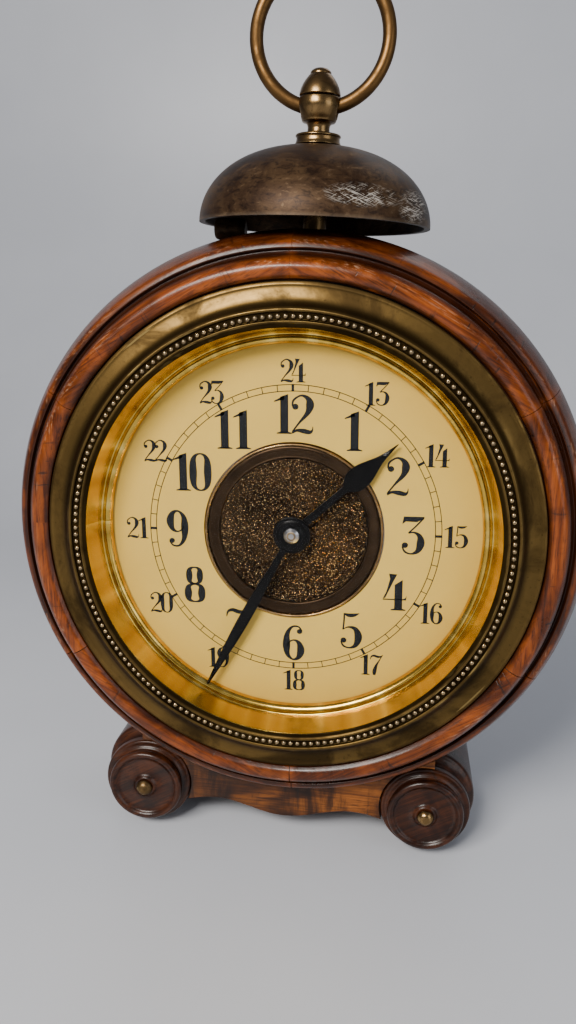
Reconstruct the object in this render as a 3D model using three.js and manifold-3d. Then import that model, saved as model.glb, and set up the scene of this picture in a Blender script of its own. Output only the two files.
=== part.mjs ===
// Round wooden mantel alarm clock with a 24-hour dial, a bell and a carrying ring on top.
// Units are millimetres. +X is the viewer's right, +Y runs back into the case, +Z is up.
// The origin is on the table, under the middle of the clock's bounding box.
import * as THREE from 'three';
import { mergeVertices } from 'three/addons/utils/BufferGeometryUtils.js';
import Module from 'manifold-3d';

const wasm = await Module();
wasm.setup();

// ---- driving dimensions -------------------------------------------------------------------
const GAP = 0.3;                 // clearance between neighbouring pieces
const ARBOR_HEIGHT = 104.7;      // centre arbor above the table
const DIAL_DEPTH = -29.95;       // front face of the dial, along Y

const CASE_RADIUS = 85.25;       // front moulding
const DRUM_RADIUS = 80;
const DRUM_BORE = 70;
const DRUM_FRONT = 11.8;
const DRUM_BACK = 58.2;

const ROLL_X = 45.1;             // scroll feet, either side of the middle
const ROLL_Z = -89.1;
const ROLL_RADIUS = 16;

const BEZEL_RADIUS = 70.9;
const BEZEL_FRONT = -12.3;
const GLASS_RADIUS = 61.2;
const DIAL_RADIUS = 62;
const DIAL_OPENING = 54.6;       // visible part of the dial
const CENTRE_DISC_RADIUS = 26.3;

const MINUTE_HAND_LENGTH = 47;
const HOUR_HAND_LENGTH = 39;
const MINUTE_HAND_TURN = 209.2;  // degrees clockwise from 12
const HOUR_HAND_TURN = 49.8;

const BELL_Y = 23;               // bell axis, behind the dial face
const BELL_RIM_RADIUS = 33.7;
const BELL_RIM_Z = 87;
const BELL_HEIGHT = 21.8;
const BELL_WALL = 1.8;
const POST_RADIUS = 1.9;
const ACORN_RADIUS = 6.35;
const RING_PIVOT_Z = BELL_RIM_Z + 31.9;
const RING_RADIUS = 18.7;
const RING_WIRE = 1.95;

const FRONT_PLATE = [10.5, 12];  // front and back faces along Y
const BACK_PLATE = [38.5, 40];
const PLATE_HALF_WIDTH = 48;
const PLATE_TOP = 52;
const PLATE_BOTTOM = -38;
const PIVOT = 0.9;               // arbor pivots in the plates
const PIVOT_HOLE = 1.2;
const BACK_COVER = [56.3, 57.8];

const AROUND = 40;               // facets around the case
const SMALL = 16;                // facets around small turned pieces
const HOLE = 8;                  // facets around a drilled hole

// ---- materials ----------------------------------------------------------------------------
const finish = (color, roughness, metalness) =>
  new THREE.MeshStandardMaterial({ color, roughness, metalness });
const mahogany = finish(0x7a3c1a, 0.45, 0);
const darkWood = finish(0x4a2313, 0.5, 0);
const oldBrass = finish(0x8a764a, 0.5, 0.9);
const brightBrass = finish(0xb98a35, 0.25, 1);
const bellMetal = finish(0x4b3f33, 0.4, 0.85);
const steel = finish(0x77767a, 0.35, 1);
const blackSteel = finish(0x15161a, 0.35, 0.6);
const bronze = finish(0x4a3520, 0.5, 0.8);
const cream = finish(0xcdb47d, 0.7, 0);
const clearGlass = finish(0xdfe8e6, 0.05, 0);

// ---- turning a three.js shape into one closed solid ----------------------------------------
function solid(geometry) {
  const bare = new THREE.BufferGeometry();
  bare.setAttribute('position', geometry.getAttribute('position'));
  if (geometry.index) bare.setIndex(geometry.index);
  const merged = mergeVertices(bare, 1e-4);
  const position = merged.getAttribute('position');
  const corners = [];
  const point = [0, 1, 2].map(() => new THREE.Vector3());
  let volume = 0;
  for (let i = 0; i < merged.index.count; i += 3) {
    const face = [0, 1, 2].map((k) => merged.index.getX(i + k));
    if (new Set(face).size < 3) continue;
    corners.push(face);
    face.forEach((vertex, k) => point[k].fromBufferAttribute(position, vertex));
    volume += point[0].dot(point[1].cross(point[2]));
  }
  if (volume < 0) corners.forEach((face) => face.reverse());
  const mesh = new wasm.Mesh({
    numProp: 3,
    vertProperties: new Float32Array(position.array),
    triVerts: new Uint32Array(corners.flat()),
  });
  mesh.merge();
  return new wasm.Manifold(mesh);
}

function geometryOf(manifold) {
  const mesh = manifold.getMesh();
  const geometry = new THREE.BufferGeometry();
  geometry.setAttribute('position', new THREE.BufferAttribute(mesh.vertProperties, 3));
  geometry.setIndex(new THREE.BufferAttribute(mesh.triVerts, 1));
  geometry.computeVertexNormals();
  return geometry;
}

const join = (first, ...rest) => rest.reduce((sum, next) => sum.add(next), first);
const cut = (first, ...rest) => rest.reduce((left, next) => left.subtract(next), first);

// A profile of [radius, depth] points turned about the Y axis.
function turned(profile, facets = SMALL) {
  const closes = profile[0][0] > 0;
  const points = profile.map(([r, y]) => new THREE.Vector2(r, y));
  if (closes) points.push(points[0].clone());
  return solid(new THREE.LatheGeometry(points, facets));
}

// The same about the Z axis, for the bell and what stands on it: [radius, height] points.
const upright = (profile, facets = SMALL) => turned(profile, facets).rotate([90, 0, 0]);

const rod = (radius, y0, y1, facets = SMALL) =>
  turned([[0, y0], [radius, y0], [radius, y1], [0, y1]], facets);

const pipe = (bore, radius, y0, y1, facets = SMALL) =>
  turned([[bore, y0], [radius, y0], [radius, y1], [bore, y1]], facets);

// A flat outline in X and Z, filling the depth from y0 to y1.
function slab(shape, y0, y1) {
  const geometry = new THREE.ExtrudeGeometry(shape, { depth: y1 - y0, bevelEnabled: false, curveSegments: 6 });
  geometry.rotateX(Math.PI / 2);
  geometry.translate(0, y1, 0);
  return solid(geometry);
}

function outline(points) {
  return new THREE.Shape(points.map(([x, z]) => new THREE.Vector2(x, z)));
}

// A flat piece with round holes: each spot is an arbor's place and the hole's radius.
function drilled(plate, spots) {
  return cut(plate, ...spots.map(([at, radius]) => rod(radius, -20, 90, HOLE).translate([at.x, 0, at.z])));
}

// ---- gears --------------------------------------------------------------------------------
// Tooth forms: each corner of one tooth as [height over the pitch circle in modules, place
// along the tooth pitch]. Teeth are cut thin, so they run clear of each other all the way round.
const WHEEL_TOOTH = [[0.5, 0], [-1.15, 0.5]];
const PINION_TOOTH = [[-1.2, -0.13], [0.45, -0.08], [0.45, 0.08], [-1.2, 0.13]];
const SAW_TOOTH = [[0, 0], [-1.6, 0.12]];

function gear(teeth, module, turn, form) {
  const pitchRadius = (teeth * module) / 2;
  const pitch = (2 * Math.PI) / teeth;
  const points = [];
  for (let i = 0; i < teeth; i++) {
    for (const [height, along] of form) {
      const radius = pitchRadius + height * module;
      const angle = turn + (i + along) * pitch;
      points.push([radius * Math.cos(angle), radius * Math.sin(angle)]);
    }
  }
  return outline(points);
}

// The turn that puts a gap of the driven gear on the tooth of its driver. The angle is the
// direction from the driver's arbor to the driven gear's.
function meshTurn(driverTeeth, driverTurn, angle, drivenTeeth) {
  const phase = ((angle - driverTurn) * driverTeeth) / (2 * Math.PI);
  return angle + Math.PI - ((0.5 - phase) * 2 * Math.PI) / drivenTeeth;
}

const radians = (degrees) => (degrees * Math.PI) / 180;

// The arbor a gear pair's distance away from another, in a given direction.
function meshed(from, teethA, teethB, module, degrees) {
  const distance = (module * (teethA + teethB)) / 2;
  const angle = radians(degrees);
  return { x: from.x + distance * Math.cos(angle), z: from.z + distance * Math.sin(angle), angle };
}

// ---- the scene graph ----------------------------------------------------------------------
const clock = new THREE.Group();
clock.position.set(0, DIAL_DEPTH, ARBOR_HEIGHT);

function piece(name, manifold, material, at = { x: 0, z: 0 }, parent = clock) {
  const mesh = new THREE.Mesh(geometryOf(manifold), material);
  mesh.name = name;
  mesh.position.set(at.x, 0, at.z);
  parent.add(mesh);
  return mesh;
}

// ---- case ---------------------------------------------------------------------------------
const RING_BORE = 63.5;
const RING_REBATE = 67.3;

function caseFrontRing() {
  return turned([
    [RING_BORE, -6.1], [BEZEL_RADIUS + 0.4, -6.1], [BEZEL_RADIUS + 0.4, -8.2], [72.8, -9.2],
    [75, -9.6], [77.4, -8.6], [79.6, -4.5], [82.4, -3.4], [84.6, 1], [CASE_RADIUS, 5.8],
    [84, 9.6], [81.6, DRUM_FRONT - GAP],
    [RING_REBATE, DRUM_FRONT - GAP], [RING_REBATE, 1.3], [RING_BORE, 1.3],
  ], AROUND);
}

const HAMMER_X = -25;
const HAMMER_Y = BELL_Y + 0.3;

function caseDrum() {
  const shell = turned([
    [DRUM_BORE, DRUM_FRONT], [DRUM_RADIUS, DRUM_FRONT], [DRUM_RADIUS, 54.5], [81, 55.5],
    [81, DRUM_BACK], [72, DRUM_BACK], [72, BACK_COVER[0] - GAP], [DRUM_BORE, BACK_COVER[0] - GAP],
  ], AROUND);
  const postHole = upright([[0, 60], [2.8, 60], [2.8, 90], [0, 90]], 12).translate([0, BELL_Y, 0]);
  const slot = solid(new THREE.BoxGeometry(9, 7, 30)).translate([HAMMER_X, HAMMER_Y, 70]);
  return cut(shell, postHole, slot);
}

// The apron's lower edge hangs in a shallow swag between the feet.
const SADDLE_FRONT = 4.2;
const SADDLE_BACK = 54;
const SADDLE_HALF_WIDTH = 47;
const SWAG_MID = -94.7;
const SWAG_DROP = 2;
const SWAG_HALF_WAVE = 22;

function baseSaddle() {
  const swag = [];
  for (let x = -SADDLE_HALF_WIDTH; x <= SADDLE_HALF_WIDTH; x += 3.917) {
    const shown = Math.min(Math.abs(x), 33);
    swag.push([x, SWAG_MID - SWAG_DROP * Math.cos((Math.PI * shown) / SWAG_HALF_WAVE)]);
  }
  const block = slab(outline([...swag, [SADDLE_HALF_WIDTH, -66], [-SADDLE_HALF_WIDTH, -66]]),
    SADDLE_FRONT, SADDLE_BACK);
  const underDrum = rod(DRUM_RADIUS + GAP, 0, 70, AROUND);
  const underMoulding = rod(CASE_RADIUS + GAP + 0.15, 0, DRUM_FRONT + GAP, AROUND);
  const rolls = [-1, 1].map((side) =>
    rod(ROLL_RADIUS + GAP + 0.2, 0, 70, 28).translate([side * ROLL_X, 0, ROLL_Z]));
  const shaped = cut(block, underDrum, underMoulding, ...rolls);
  return shaped.decompose().sort((a, b) => b.volume() - a.volume())[0];
}

// A scroll foot: a long turned roll with a lip at the front, planed flat where it stands.
const ROLL_LIP_RADIUS = 14.1;

function footRoll(side) {
  const roll = turned([
    [0, 3.6], [12.6, 3.9], [ROLL_LIP_RADIUS, 6], [13, 9.4], [14, 12.2], [ROLL_RADIUS, 13.2],
    [ROLL_RADIUS, 52.5], [14.8, SADDLE_BACK], [0, SADDLE_BACK],
  ], 28).translate([side * ROLL_X, 0, ROLL_Z]);
  const table = solid(new THREE.BoxGeometry(60, 120, 20))
    .translate([side * ROLL_X, 30, -ARBOR_HEIGHT - 10]);
  return cut(roll, table);
}

const footRosette = () => turned([
  [2.2, 0], [3.4, 0], [4.4, 0.8], [9.6, 1], [10.4, 0], [11.5, 0], [12, 1], [11, 3.3], [2.2, 3.3],
], 24);

const footButton = () => turned([
  [0, -2.1], [1.5, -1.8], [2.9, -GAP], [1.8, -GAP], [1.8, 3.2], [0, 3.2],
], 12);

piece('case_front_ring', caseFrontRing(), mahogany);
piece('case_drum', caseDrum(), mahogany);
piece('base_saddle', baseSaddle(), mahogany);
for (const [word, side] of [['left', -1], ['right', 1]]) {
  const at = { x: side * ROLL_X, z: ROLL_Z };
  piece(`${word}_foot_roll`, footRoll(side), darkWood);
  piece(`${word}_foot_rosette`, footRosette(), darkWood, at);
  piece(`${word}_foot_button`, footButton(), oldBrass, at);
}

// ---- bezel, glass and dial ----------------------------------------------------------------
piece('bezel', turned([
  [60, -11.3], [60.4, -12], [61.1, BEZEL_FRONT], [62.4, BEZEL_FRONT], [64, -11.5], [66, -9.9],
  [69.4, -9], [BEZEL_RADIUS, -8.5], [BEZEL_RADIUS, -6.4], [GLASS_RADIUS + GAP, -6.4],
  [GLASS_RADIUS + GAP, -11.3],
], AROUND), oldBrass);
piece('dial_glass', rod(GLASS_RADIUS, -11, -9.4, AROUND), clearGlass);
piece('dial_surround', turned([
  [DIAL_OPENING, -0.4], [DIAL_OPENING, -1.5], [55.6, -1.5], [60, -9], [60.8, -9], [57, -0.4],
], AROUND), brightBrass);
piece('dial_ring', pipe(CENTRE_DISC_RADIUS + GAP, DIAL_RADIUS, 0, 1.2, AROUND), cream);
piece('dial_backing', pipe(3.6, RING_REBATE - 0.6, 1.6, 2.6, AROUND), steel);
piece('dial_centre_disc', turned([
  [3.6, 0.5], [20.6, 0.5], [21.7, -0.1], [25.4, -0.7], [CENTRE_DISC_RADIUS, -0.7],
  [CENTRE_DISC_RADIUS, 1.2], [3.6, 1.2],
], 32), bronze);

// ---- movement: where each arbor stands ----------------------------------------------------
const TEETH = {
  timeGreat: 48, centrePinion: 8, centre: 48, thirdPinion: 6, third: 45, fourthPinion: 6,
  fourth: 48, escapePinion: 6, alarmGreat: 44, alarmPinion: 8,
  cannon: 12, minute: 36, minutePinion: 10, hour: 40,
};
const MODULE = { great: 0.8, centre: 0.6, third: 0.55, fourth: 0.5, minute: 0.8, hour: 0.768 };

const centreArbor = { x: 0, z: 0 };
const timeArbor = meshed(centreArbor, TEETH.centrePinion, TEETH.timeGreat, MODULE.great, -24);
const thirdArbor = meshed(centreArbor, TEETH.centre, TEETH.thirdPinion, MODULE.centre, 45);
const fourthArbor = meshed(thirdArbor, TEETH.third, TEETH.fourthPinion, MODULE.third, 60);
const escapeArbor = meshed(fourthArbor, TEETH.fourth, TEETH.escapePinion, MODULE.fourth, 12);
const palletArbor = { x: escapeArbor.x - 5, z: escapeArbor.z + 8.6 };
const balanceArbor = { x: 14.5, z: 41.5 };
const alarmArbor = { x: -24, z: -14 };
const alarmEscapeArbor = meshed(alarmArbor, TEETH.alarmGreat, TEETH.alarmPinion, MODULE.great, 110);
const hammerArbor = { x: HAMMER_X, z: 16.4 };
const minuteArbor = meshed(centreArbor, TEETH.cannon, TEETH.minute, MODULE.minute, -60);
const alarmSetArbor = meshed(centreArbor, TEETH.hour, TEETH.hour, MODULE.hour, 105);
const stopArbor = { x: -38, z: 43 };

// ---- movement frame -----------------------------------------------------------------------
const pillarSpots = [[-44, -30], [44, -30], [-44, 30], [44, 36]];
const dialFootSpots = [[-40, 33], [40, 33], [0, -33]];

function framePlate([y0, y1], extraHoles) {
  const bevel = 7;
  const shape = outline([
    [-PLATE_HALF_WIDTH + bevel, PLATE_BOTTOM], [PLATE_HALF_WIDTH - bevel, PLATE_BOTTOM],
    [PLATE_HALF_WIDTH, PLATE_BOTTOM + bevel], [PLATE_HALF_WIDTH, PLATE_TOP - 2 * bevel],
    [PLATE_HALF_WIDTH - 2 * bevel, PLATE_TOP], [0, PLATE_TOP],
    [-PLATE_HALF_WIDTH + bevel, PLATE_TOP - 2 * bevel], [-PLATE_HALF_WIDTH, PLATE_TOP - 3 * bevel],
    [-PLATE_HALF_WIDTH, PLATE_BOTTOM + bevel],
  ]);
  const pivotHoles = [thirdArbor, fourthArbor, escapeArbor, palletArbor, balanceArbor,
    alarmEscapeArbor, hammerArbor].map((arbor) => [arbor, PIVOT_HOLE]);
  return drilled(slab(shape, y0, y1), [...pivotHoles, ...extraHoles]);
}

// The front plate carries the pillars, riveted in behind, and the dial feet in front.
const platePillar = turned([
  [0, FRONT_PLATE[0] + 0.5], [2.6, FRONT_PLATE[0] + 0.5], [3.4, 16], [2.2, 20], [2.2, 31],
  [3.4, 35], [2.6, BACK_PLATE[0] - GAP], [0, BACK_PLATE[0] - GAP],
], 8);
const dialFoot = rod(2.4, 2.6 + GAP, FRONT_PLATE[0] + 0.5, 8);

piece('movement_front_plate', join(
  framePlate(FRONT_PLATE, [
    [centreArbor, 2.5], [timeArbor, 1.8], [alarmArbor, 1.8], [alarmSetArbor, 1.8],
    [minuteArbor, PIVOT_HOLE],
  ]),
  ...pillarSpots.map(([x, z]) => platePillar.translate([x, 0, z])),
  ...dialFootSpots.map(([x, z]) => dialFoot.translate([x, 0, z])),
), oldBrass);
piece('movement_back_plate', framePlate(BACK_PLATE, [
  [centreArbor, 1.8], [timeArbor, 2.8], [alarmArbor, 2.8], [alarmSetArbor, 1.8], [stopArbor, 1.8],
]), oldBrass);

// ---- hands and the wheels that carry them -------------------------------------------------
// The hour hand: a slim stem, a pear-shaped spade and a long drawn-out tip.
function hourHand() {
  const half = [
    [0.85, 3], [0.85, 18], [1.5, 20.5], [3, 23], [3.75, 25.5], [3.5, 28], [2.4, 30.6],
    [1.1, 33], [0.5, 35.8],
  ];
  const points = [...half, [0, HOUR_HAND_LENGTH], ...half.map(([x, z]) => [-x, z]).reverse()];
  const blade = slab(outline(points), -2.4, -1.6);
  return cut(join(blade, rod(5, -2.4, -1.6)), rod(3.5, -5, 5, 16));
}

function minuteHand() {
  const points = [
    [1, 4], [1.7, 12], [1.6, 20], [0.9, 36], [0, MINUTE_HAND_LENGTH], [-0.9, 36], [-1.6, 20],
    [-1.7, 12], [-1, 4],
  ];
  const blade = slab(outline(points), -3.9, -3.1);
  return cut(join(blade, rod(5.4, -3.9, -3.1)), rod(2.4, -5, 5, 16));
}

const hour = piece('hour_hand', hourHand(), blackSteel);
hour.rotation.y = radians(HOUR_HAND_TURN);
const minute = piece('minute_hand', minuteHand(), blackSteel);
minute.rotation.y = radians(MINUTE_HAND_TURN);

const cannonTurn = 0;
const minuteTurn = meshTurn(TEETH.cannon, cannonTurn, minuteArbor.angle, TEETH.minute);
const pinionTurn = minuteTurn;
const hourTurn = meshTurn(TEETH.minutePinion, pinionTurn, minuteArbor.angle + Math.PI, TEETH.hour);
const alarmWheelTurn = meshTurn(TEETH.hour, hourTurn, alarmSetArbor.angle, TEETH.hour);

piece('cannon_pinion', cut(
  join(rod(2.1, -3.9, 8.6, 16), slab(gear(TEETH.cannon, MODULE.minute, cannonTurn, PINION_TOOTH), 5.9, 8.6)),
  rod(1.5, -10, 20, 12),
), steel);
piece('minute_wheel', join(
  slab(gear(TEETH.minute, MODULE.minute, minuteTurn, WHEEL_TOOTH), 6.2, 7.6),
  slab(gear(TEETH.minutePinion, MODULE.hour, pinionTurn, PINION_TOOTH), 3.2, 6.3),
  rod(1.6, 7.5, 10.2, 12), rod(PIVOT, 10, 11.8, HOLE),
), oldBrass, minuteArbor);
piece('hour_wheel', cut(
  join(slab(gear(TEETH.hour, MODULE.hour, hourTurn, WHEEL_TOOTH), 3.4, 4.6), rod(3.2, -2.9, 5.4, 16)),
  rod(2.4, -10, 20, 16),
), oldBrass);

// ---- going train --------------------------------------------------------------------------
const greatTurn = 0.05;
const backwards = Math.PI;
const centrePinionTurn =
  meshTurn(TEETH.timeGreat, greatTurn, timeArbor.angle + backwards, TEETH.centrePinion);
const centreTurn = centrePinionTurn;
const thirdPinionTurn = meshTurn(TEETH.centre, centreTurn, thirdArbor.angle, TEETH.thirdPinion);
const thirdTurn = thirdPinionTurn;
const fourthPinionTurn = meshTurn(TEETH.third, thirdTurn, fourthArbor.angle, TEETH.fourthPinion);
const fourthTurn = fourthPinionTurn;
const escapePinionTurn = meshTurn(TEETH.fourth, fourthTurn, escapeArbor.angle, TEETH.escapePinion);

// A wheel and its pinion on one arbor with a pivot at each end.
function wheelAndPinion(wheelShape, wheelY, pinionShape, pinionY) {
  return join(
    slab(wheelShape, wheelY, wheelY + 1.1),
    slab(pinionShape, pinionY, pinionY + 2.4),
    rod(1.1, FRONT_PLATE[1] + GAP, BACK_PLATE[0] - GAP, HOLE),
    rod(PIVOT, FRONT_PLATE[0] + 0.4, BACK_PLATE[1] - 0.4, HOLE),
  );
}

piece('time_great_wheel', cut(
  slab(gear(TEETH.timeGreat, MODULE.great, greatTurn, WHEEL_TOOTH), 14, 15.6), rod(2.6, 0, 40, 16),
), oldBrass, timeArbor);
piece('centre_wheel', cut(
  join(
    slab(gear(TEETH.centre, MODULE.centre, centreTurn, WHEEL_TOOTH), 32, 33.1),
    slab(gear(TEETH.centrePinion, MODULE.great, centrePinionTurn, PINION_TOOTH), 13.2, 16.6),
    rod(2.1, 13.2, 34.4, 16),
  ),
  rod(1.5, 0, 40, 12),
), oldBrass);
piece('third_wheel', wheelAndPinion(
  gear(TEETH.third, MODULE.third, thirdTurn, WHEEL_TOOTH), 34.9,
  gear(TEETH.thirdPinion, MODULE.centre, thirdPinionTurn, PINION_TOOTH), 31.3,
), oldBrass, thirdArbor);
piece('fourth_wheel', wheelAndPinion(
  gear(TEETH.fourth, MODULE.fourth, fourthTurn, WHEEL_TOOTH), 24,
  gear(TEETH.fourthPinion, MODULE.third, fourthPinionTurn, PINION_TOOTH), 34.2,
), oldBrass, fourthArbor);
piece('escape_wheel', wheelAndPinion(
  gear(15, 1, 0.2, SAW_TOOTH), 28.4,
  gear(TEETH.escapePinion, MODULE.fourth, escapePinionTurn, PINION_TOOTH), 23.4,
), brightBrass, escapeArbor);

// Winding arbors: square ends behind, a ratchet in front of the coiled spring.
function windingArbor() {
  return join(
    rod(2.2, FRONT_PLATE[1] + GAP, 34, 12), rod(1.4, FRONT_PLATE[0] + 0.4, 13, HOLE),
    rod(2.4, 33.9, 62, 12), slab(gear(16, 0.8, 0, SAW_TOOTH), 16.2, 17.4),
  );
}

// A mainspring: one flat strip wound as an open spiral.
const SPRING_TURNS = 3;
const SPRING_INNER = 3.2;
const SPRING_STRIP = 0.7;

function spiral(innerRadius, outerRadius, turns, strip, stepsPerTurn) {
  const steps = Math.round(turns * stepsPerTurn);
  const edge = (offset) => Array.from({ length: steps + 1 }, (_, i) => {
    const angle = (2 * Math.PI * i) / stepsPerTurn;
    const radius = innerRadius + ((outerRadius - innerRadius) * i) / steps + offset;
    return [radius * Math.cos(angle), radius * Math.sin(angle)];
  });
  return outline([...edge(0), ...edge(strip).reverse()]);
}

// A folding-wing key: a socket over the arbor's end and a flat heart-less wing across it.
function windingKey() {
  const socket = turned([
    [2.8, 59.5], [4.2, 59.5], [4.2, 66.4], [3, 68.2], [0, 68.2], [0, 63.4], [2.8, 63.4],
  ].slice(), SMALL);
  const wing = slab(outline([
    [-9, -2.4], [-5, -3.6], [5, -3.6], [9, -2.4], [10, 0], [9, 2.4], [5, 3.6], [-5, 3.6],
    [-9, 2.4], [-10, 0],
  ]), 0, 1.6).rotate([90, 0, 0]).translate([0, 68.6, -0.8]);
  return join(socket, wing);
}

piece('time_winding_arbor', windingArbor(), steel, timeArbor);
piece('time_mainspring', slab(spiral(SPRING_INNER, 16.6, SPRING_TURNS, SPRING_STRIP, 14), 18.5, 28.5),
  blackSteel, timeArbor);
piece('alarm_great_wheel', cut(
  slab(gear(TEETH.alarmGreat, MODULE.great, 0, WHEEL_TOOTH), 14, 15.6), rod(2.6, 0, 40, 16),
), oldBrass, alarmArbor);
piece('alarm_winding_arbor', windingArbor(), steel, alarmArbor);
piece('alarm_mainspring', slab(spiral(SPRING_INNER, 15, SPRING_TURNS, SPRING_STRIP, 14), 18.5, 28.5),
  blackSteel, alarmArbor);
for (const [name, arbor] of [['time_key', timeArbor], ['alarm_key', alarmArbor]]) {
  piece(name, windingKey(), oldBrass, arbor);
}

// The long arbor in the middle carries the minute hand in front and the setting knob behind.
piece('centre_arbor', join(
  rod(1.2, -4.5, 64.5, 12),
  turned([[0, -5.2], [1.5, -5.1], [2.25, -4.5], [2.25, -4.2], [0, -4.2]], 16),
), steel);

function knurledKnob(radius, y0, y1) {
  return turned([
    [1.6, y0], [radius * 0.6, y0], [radius, y0 + 2], [radius, y1 - 1.4], [radius - 1.4, y1],
    [0, y1], [0, y0 + 4.8], [1.6, y0 + 4.8],
  ], 24);
}

piece('hand_set_knob', knurledKnob(6.5, 60, 69.5), oldBrass);

// ---- escapement ---------------------------------------------------------------------------
// The manifold turn, in degrees, that points a piece's +Z side from one arbor at another.
const towards = (from, to) => [0, 90 - (Math.atan2(to.z - from.z, to.x - from.x) * 180) / Math.PI, 0];

function palletLever() {
  const anchor = outline([
    [-1.8, -1.2], [1.8, -1.2], [4.6, 1.2], [4.9, 3], [3.9, 3.1], [3, 1.6], [0, 1.4], [-3, 1.6],
    [-3.9, 3.1], [-4.9, 3], [-4.6, 1.2],
  ]);
  const fork = outline([[-0.9, 0], [0.9, 0], [0.5, 6.4], [-0.5, 6.4]]);
  return join(
    slab(anchor, 28.2, 29.8).rotate(towards(palletArbor, escapeArbor)),
    slab(fork, 28.2, 29.8).rotate(towards(palletArbor, balanceArbor)),
    rod(1, FRONT_PLATE[1] + GAP, BACK_PLATE[0] - GAP, HOLE),
    rod(PIVOT, FRONT_PLATE[0] + 0.4, BACK_PLATE[1] - 0.4, HOLE),
  );
}

function balanceWheel() {
  const arms = solid(new THREE.BoxGeometry(19, 1, 2)).translate([0, 18.9, 0]);
  return join(
    pipe(8.4, 10, 18, 19.8, 24), arms, rod(0.9, FRONT_PLATE[1] + GAP, BACK_PLATE[0] - GAP, 12),
    rod(0.6, FRONT_PLATE[0] + 0.4, BACK_PLATE[1] - 0.4, HOLE),
  );
}

piece('pallet_lever', palletLever(), steel, palletArbor);
piece('balance_wheel', balanceWheel(), brightBrass, balanceArbor);
piece('hairspring', slab(spiral(1.6, 6, 3, 0.25, 12), 22, 23), steel, balanceArbor);

const REGULATOR_REACH = 12;
piece('regulator_lever', join(
  cut(slab(outline([[-1.6, 2], [-1, REGULATOR_REACH], [1, REGULATOR_REACH], [1.6, 2]]), 40.6, 41.4)
    .add(rod(3.2, 40.6, 41.4, 16)), rod(1.3, 30, 50, 12)),
  rod(0.9, 40.7, 60.4, 10).translate([0, 0, REGULATOR_REACH - 0.9]),
), steel, balanceArbor);

// ---- alarm train and hammer ---------------------------------------------------------------
const alarmPinionTurn =
  meshTurn(TEETH.alarmGreat, 0, alarmEscapeArbor.angle, TEETH.alarmPinion);
piece('alarm_escape_wheel', wheelAndPinion(
  gear(12, 1.1, 0.1, SAW_TOOTH), 32,
  gear(TEETH.alarmPinion, MODULE.great, alarmPinionTurn, PINION_TOOTH), 13.6,
), brightBrass, alarmEscapeArbor);

// The hammer's arbor, its verge over the alarm escape wheel, and the long wire to the head.
const HEAD_BOTTOM = 82.4;

function hammerVerge() {
  const verge = slab(outline([[-4.4, -0.8], [-3.2, -2.2], [3.2, -2.2], [4.4, -0.8], [2, 1.4], [-2, 1.4]]), 31.6, 33.4);
  const wire = upright([[0, 0], [1.1, 0], [1.1, HEAD_BOTTOM - hammerArbor.z + 2], [0, HEAD_BOTTOM - hammerArbor.z + 2]], 10)
    .translate([0, HAMMER_Y, 0]);
  return join(
    verge, wire, rod(1.3, FRONT_PLATE[1] + GAP, BACK_PLATE[0] - GAP, 12),
    rod(PIVOT, FRONT_PLATE[0] + 0.4, BACK_PLATE[1] - 0.4, HOLE),
  );
}

piece('hammer_arbor', hammerVerge(), steel, hammerArbor);

function hammerHead() {
  const head = turned([
    [0, -4.7], [2.3, -4.5], [3.2, -3.4], [3.2, 3.4], [2.3, 4.5], [0, 4.7],
  ], 18).rotate([0, 0, 90]).translate([0, HAMMER_Y, HEAD_BOTTOM + 3.2]);
  const bore = upright([[0, 0], [1.4, 0], [1.4, HEAD_BOTTOM + 2.4], [0, HEAD_BOTTOM + 2.4]], 12)
    .translate([0, HAMMER_Y, 0]);
  return cut(head, bore);
}

piece('hammer_head', hammerHead(), bellMetal, { x: HAMMER_X, z: 0 });

// ---- alarm setting and stopping -----------------------------------------------------------
piece('alarm_release_wheel', cut(
  slab(gear(TEETH.hour, MODULE.hour, alarmWheelTurn, WHEEL_TOOTH), 3.4, 4.6)
    .add(pipe(1.7, 3, 4.5, 9.8, 16)), rod(1.6, 0, 20, 12),
), oldBrass, alarmSetArbor);
piece('alarm_set_arbor', rod(1.3, 3, 64, 12), steel, alarmSetArbor);
piece('alarm_dial', turned([
  [3, 58.4], [13.4, 58.4], [14, 58.8], [14, 59.2], [3, 59.2],
], 24), cream, alarmSetArbor);
piece('alarm_pointer', cut(
  slab(outline([[-1.2, 0], [-1, 8], [0, 11.6], [1, 8], [1.2, 0]]), 60, 60.6).add(rod(2.8, 60, 60.6, 16)),
  rod(1.6, 50, 70, 12),
), blackSteel, alarmSetArbor);
piece('alarm_set_knob', knurledKnob(4.6, 61, 68), oldBrass, alarmSetArbor);

// A cranked lever: turned over, its finger stands beside the hammer wire and holds it still.
piece('alarm_stop_lever', join(
  rod(1.3, 20.5, 63.5, 12),
  slab(outline([[-1.8, -1.6], [8.2, -6.8], [9, -5.2], [1.2, 2]]), 21.6, 25),
  slab(outline([[-1.6, 0], [-2, 9], [0, 11], [2, 9], [1.6, 0]]), 61, 62.6),
), steel, stopArbor);

function backCover() {
  const reach = REGULATOR_REACH - 0.9;
  const arc = (radius, steps) => steps.map((degrees) => [
    balanceArbor.x + radius * Math.sin(radians(degrees)),
    balanceArbor.z + radius * Math.cos(radians(degrees)),
  ]);
  const slot = slab(outline([
    ...arc(reach - 1.5, [-27, -9, 9, 27]), ...arc(reach + 1.5, [27, 9, -9, -27]),
  ]), BACK_COVER[0] - 1, BACK_COVER[1] + 1);
  return drilled(cut(rod(71.5, ...BACK_COVER, AROUND), slot), [
    [centreArbor, 2.2], [timeArbor, 3.2], [alarmArbor, 3.2], [alarmSetArbor, 2.2], [stopArbor, 2.2],
  ]);
}

piece('back_cover', backCover(), oldBrass);

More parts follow.
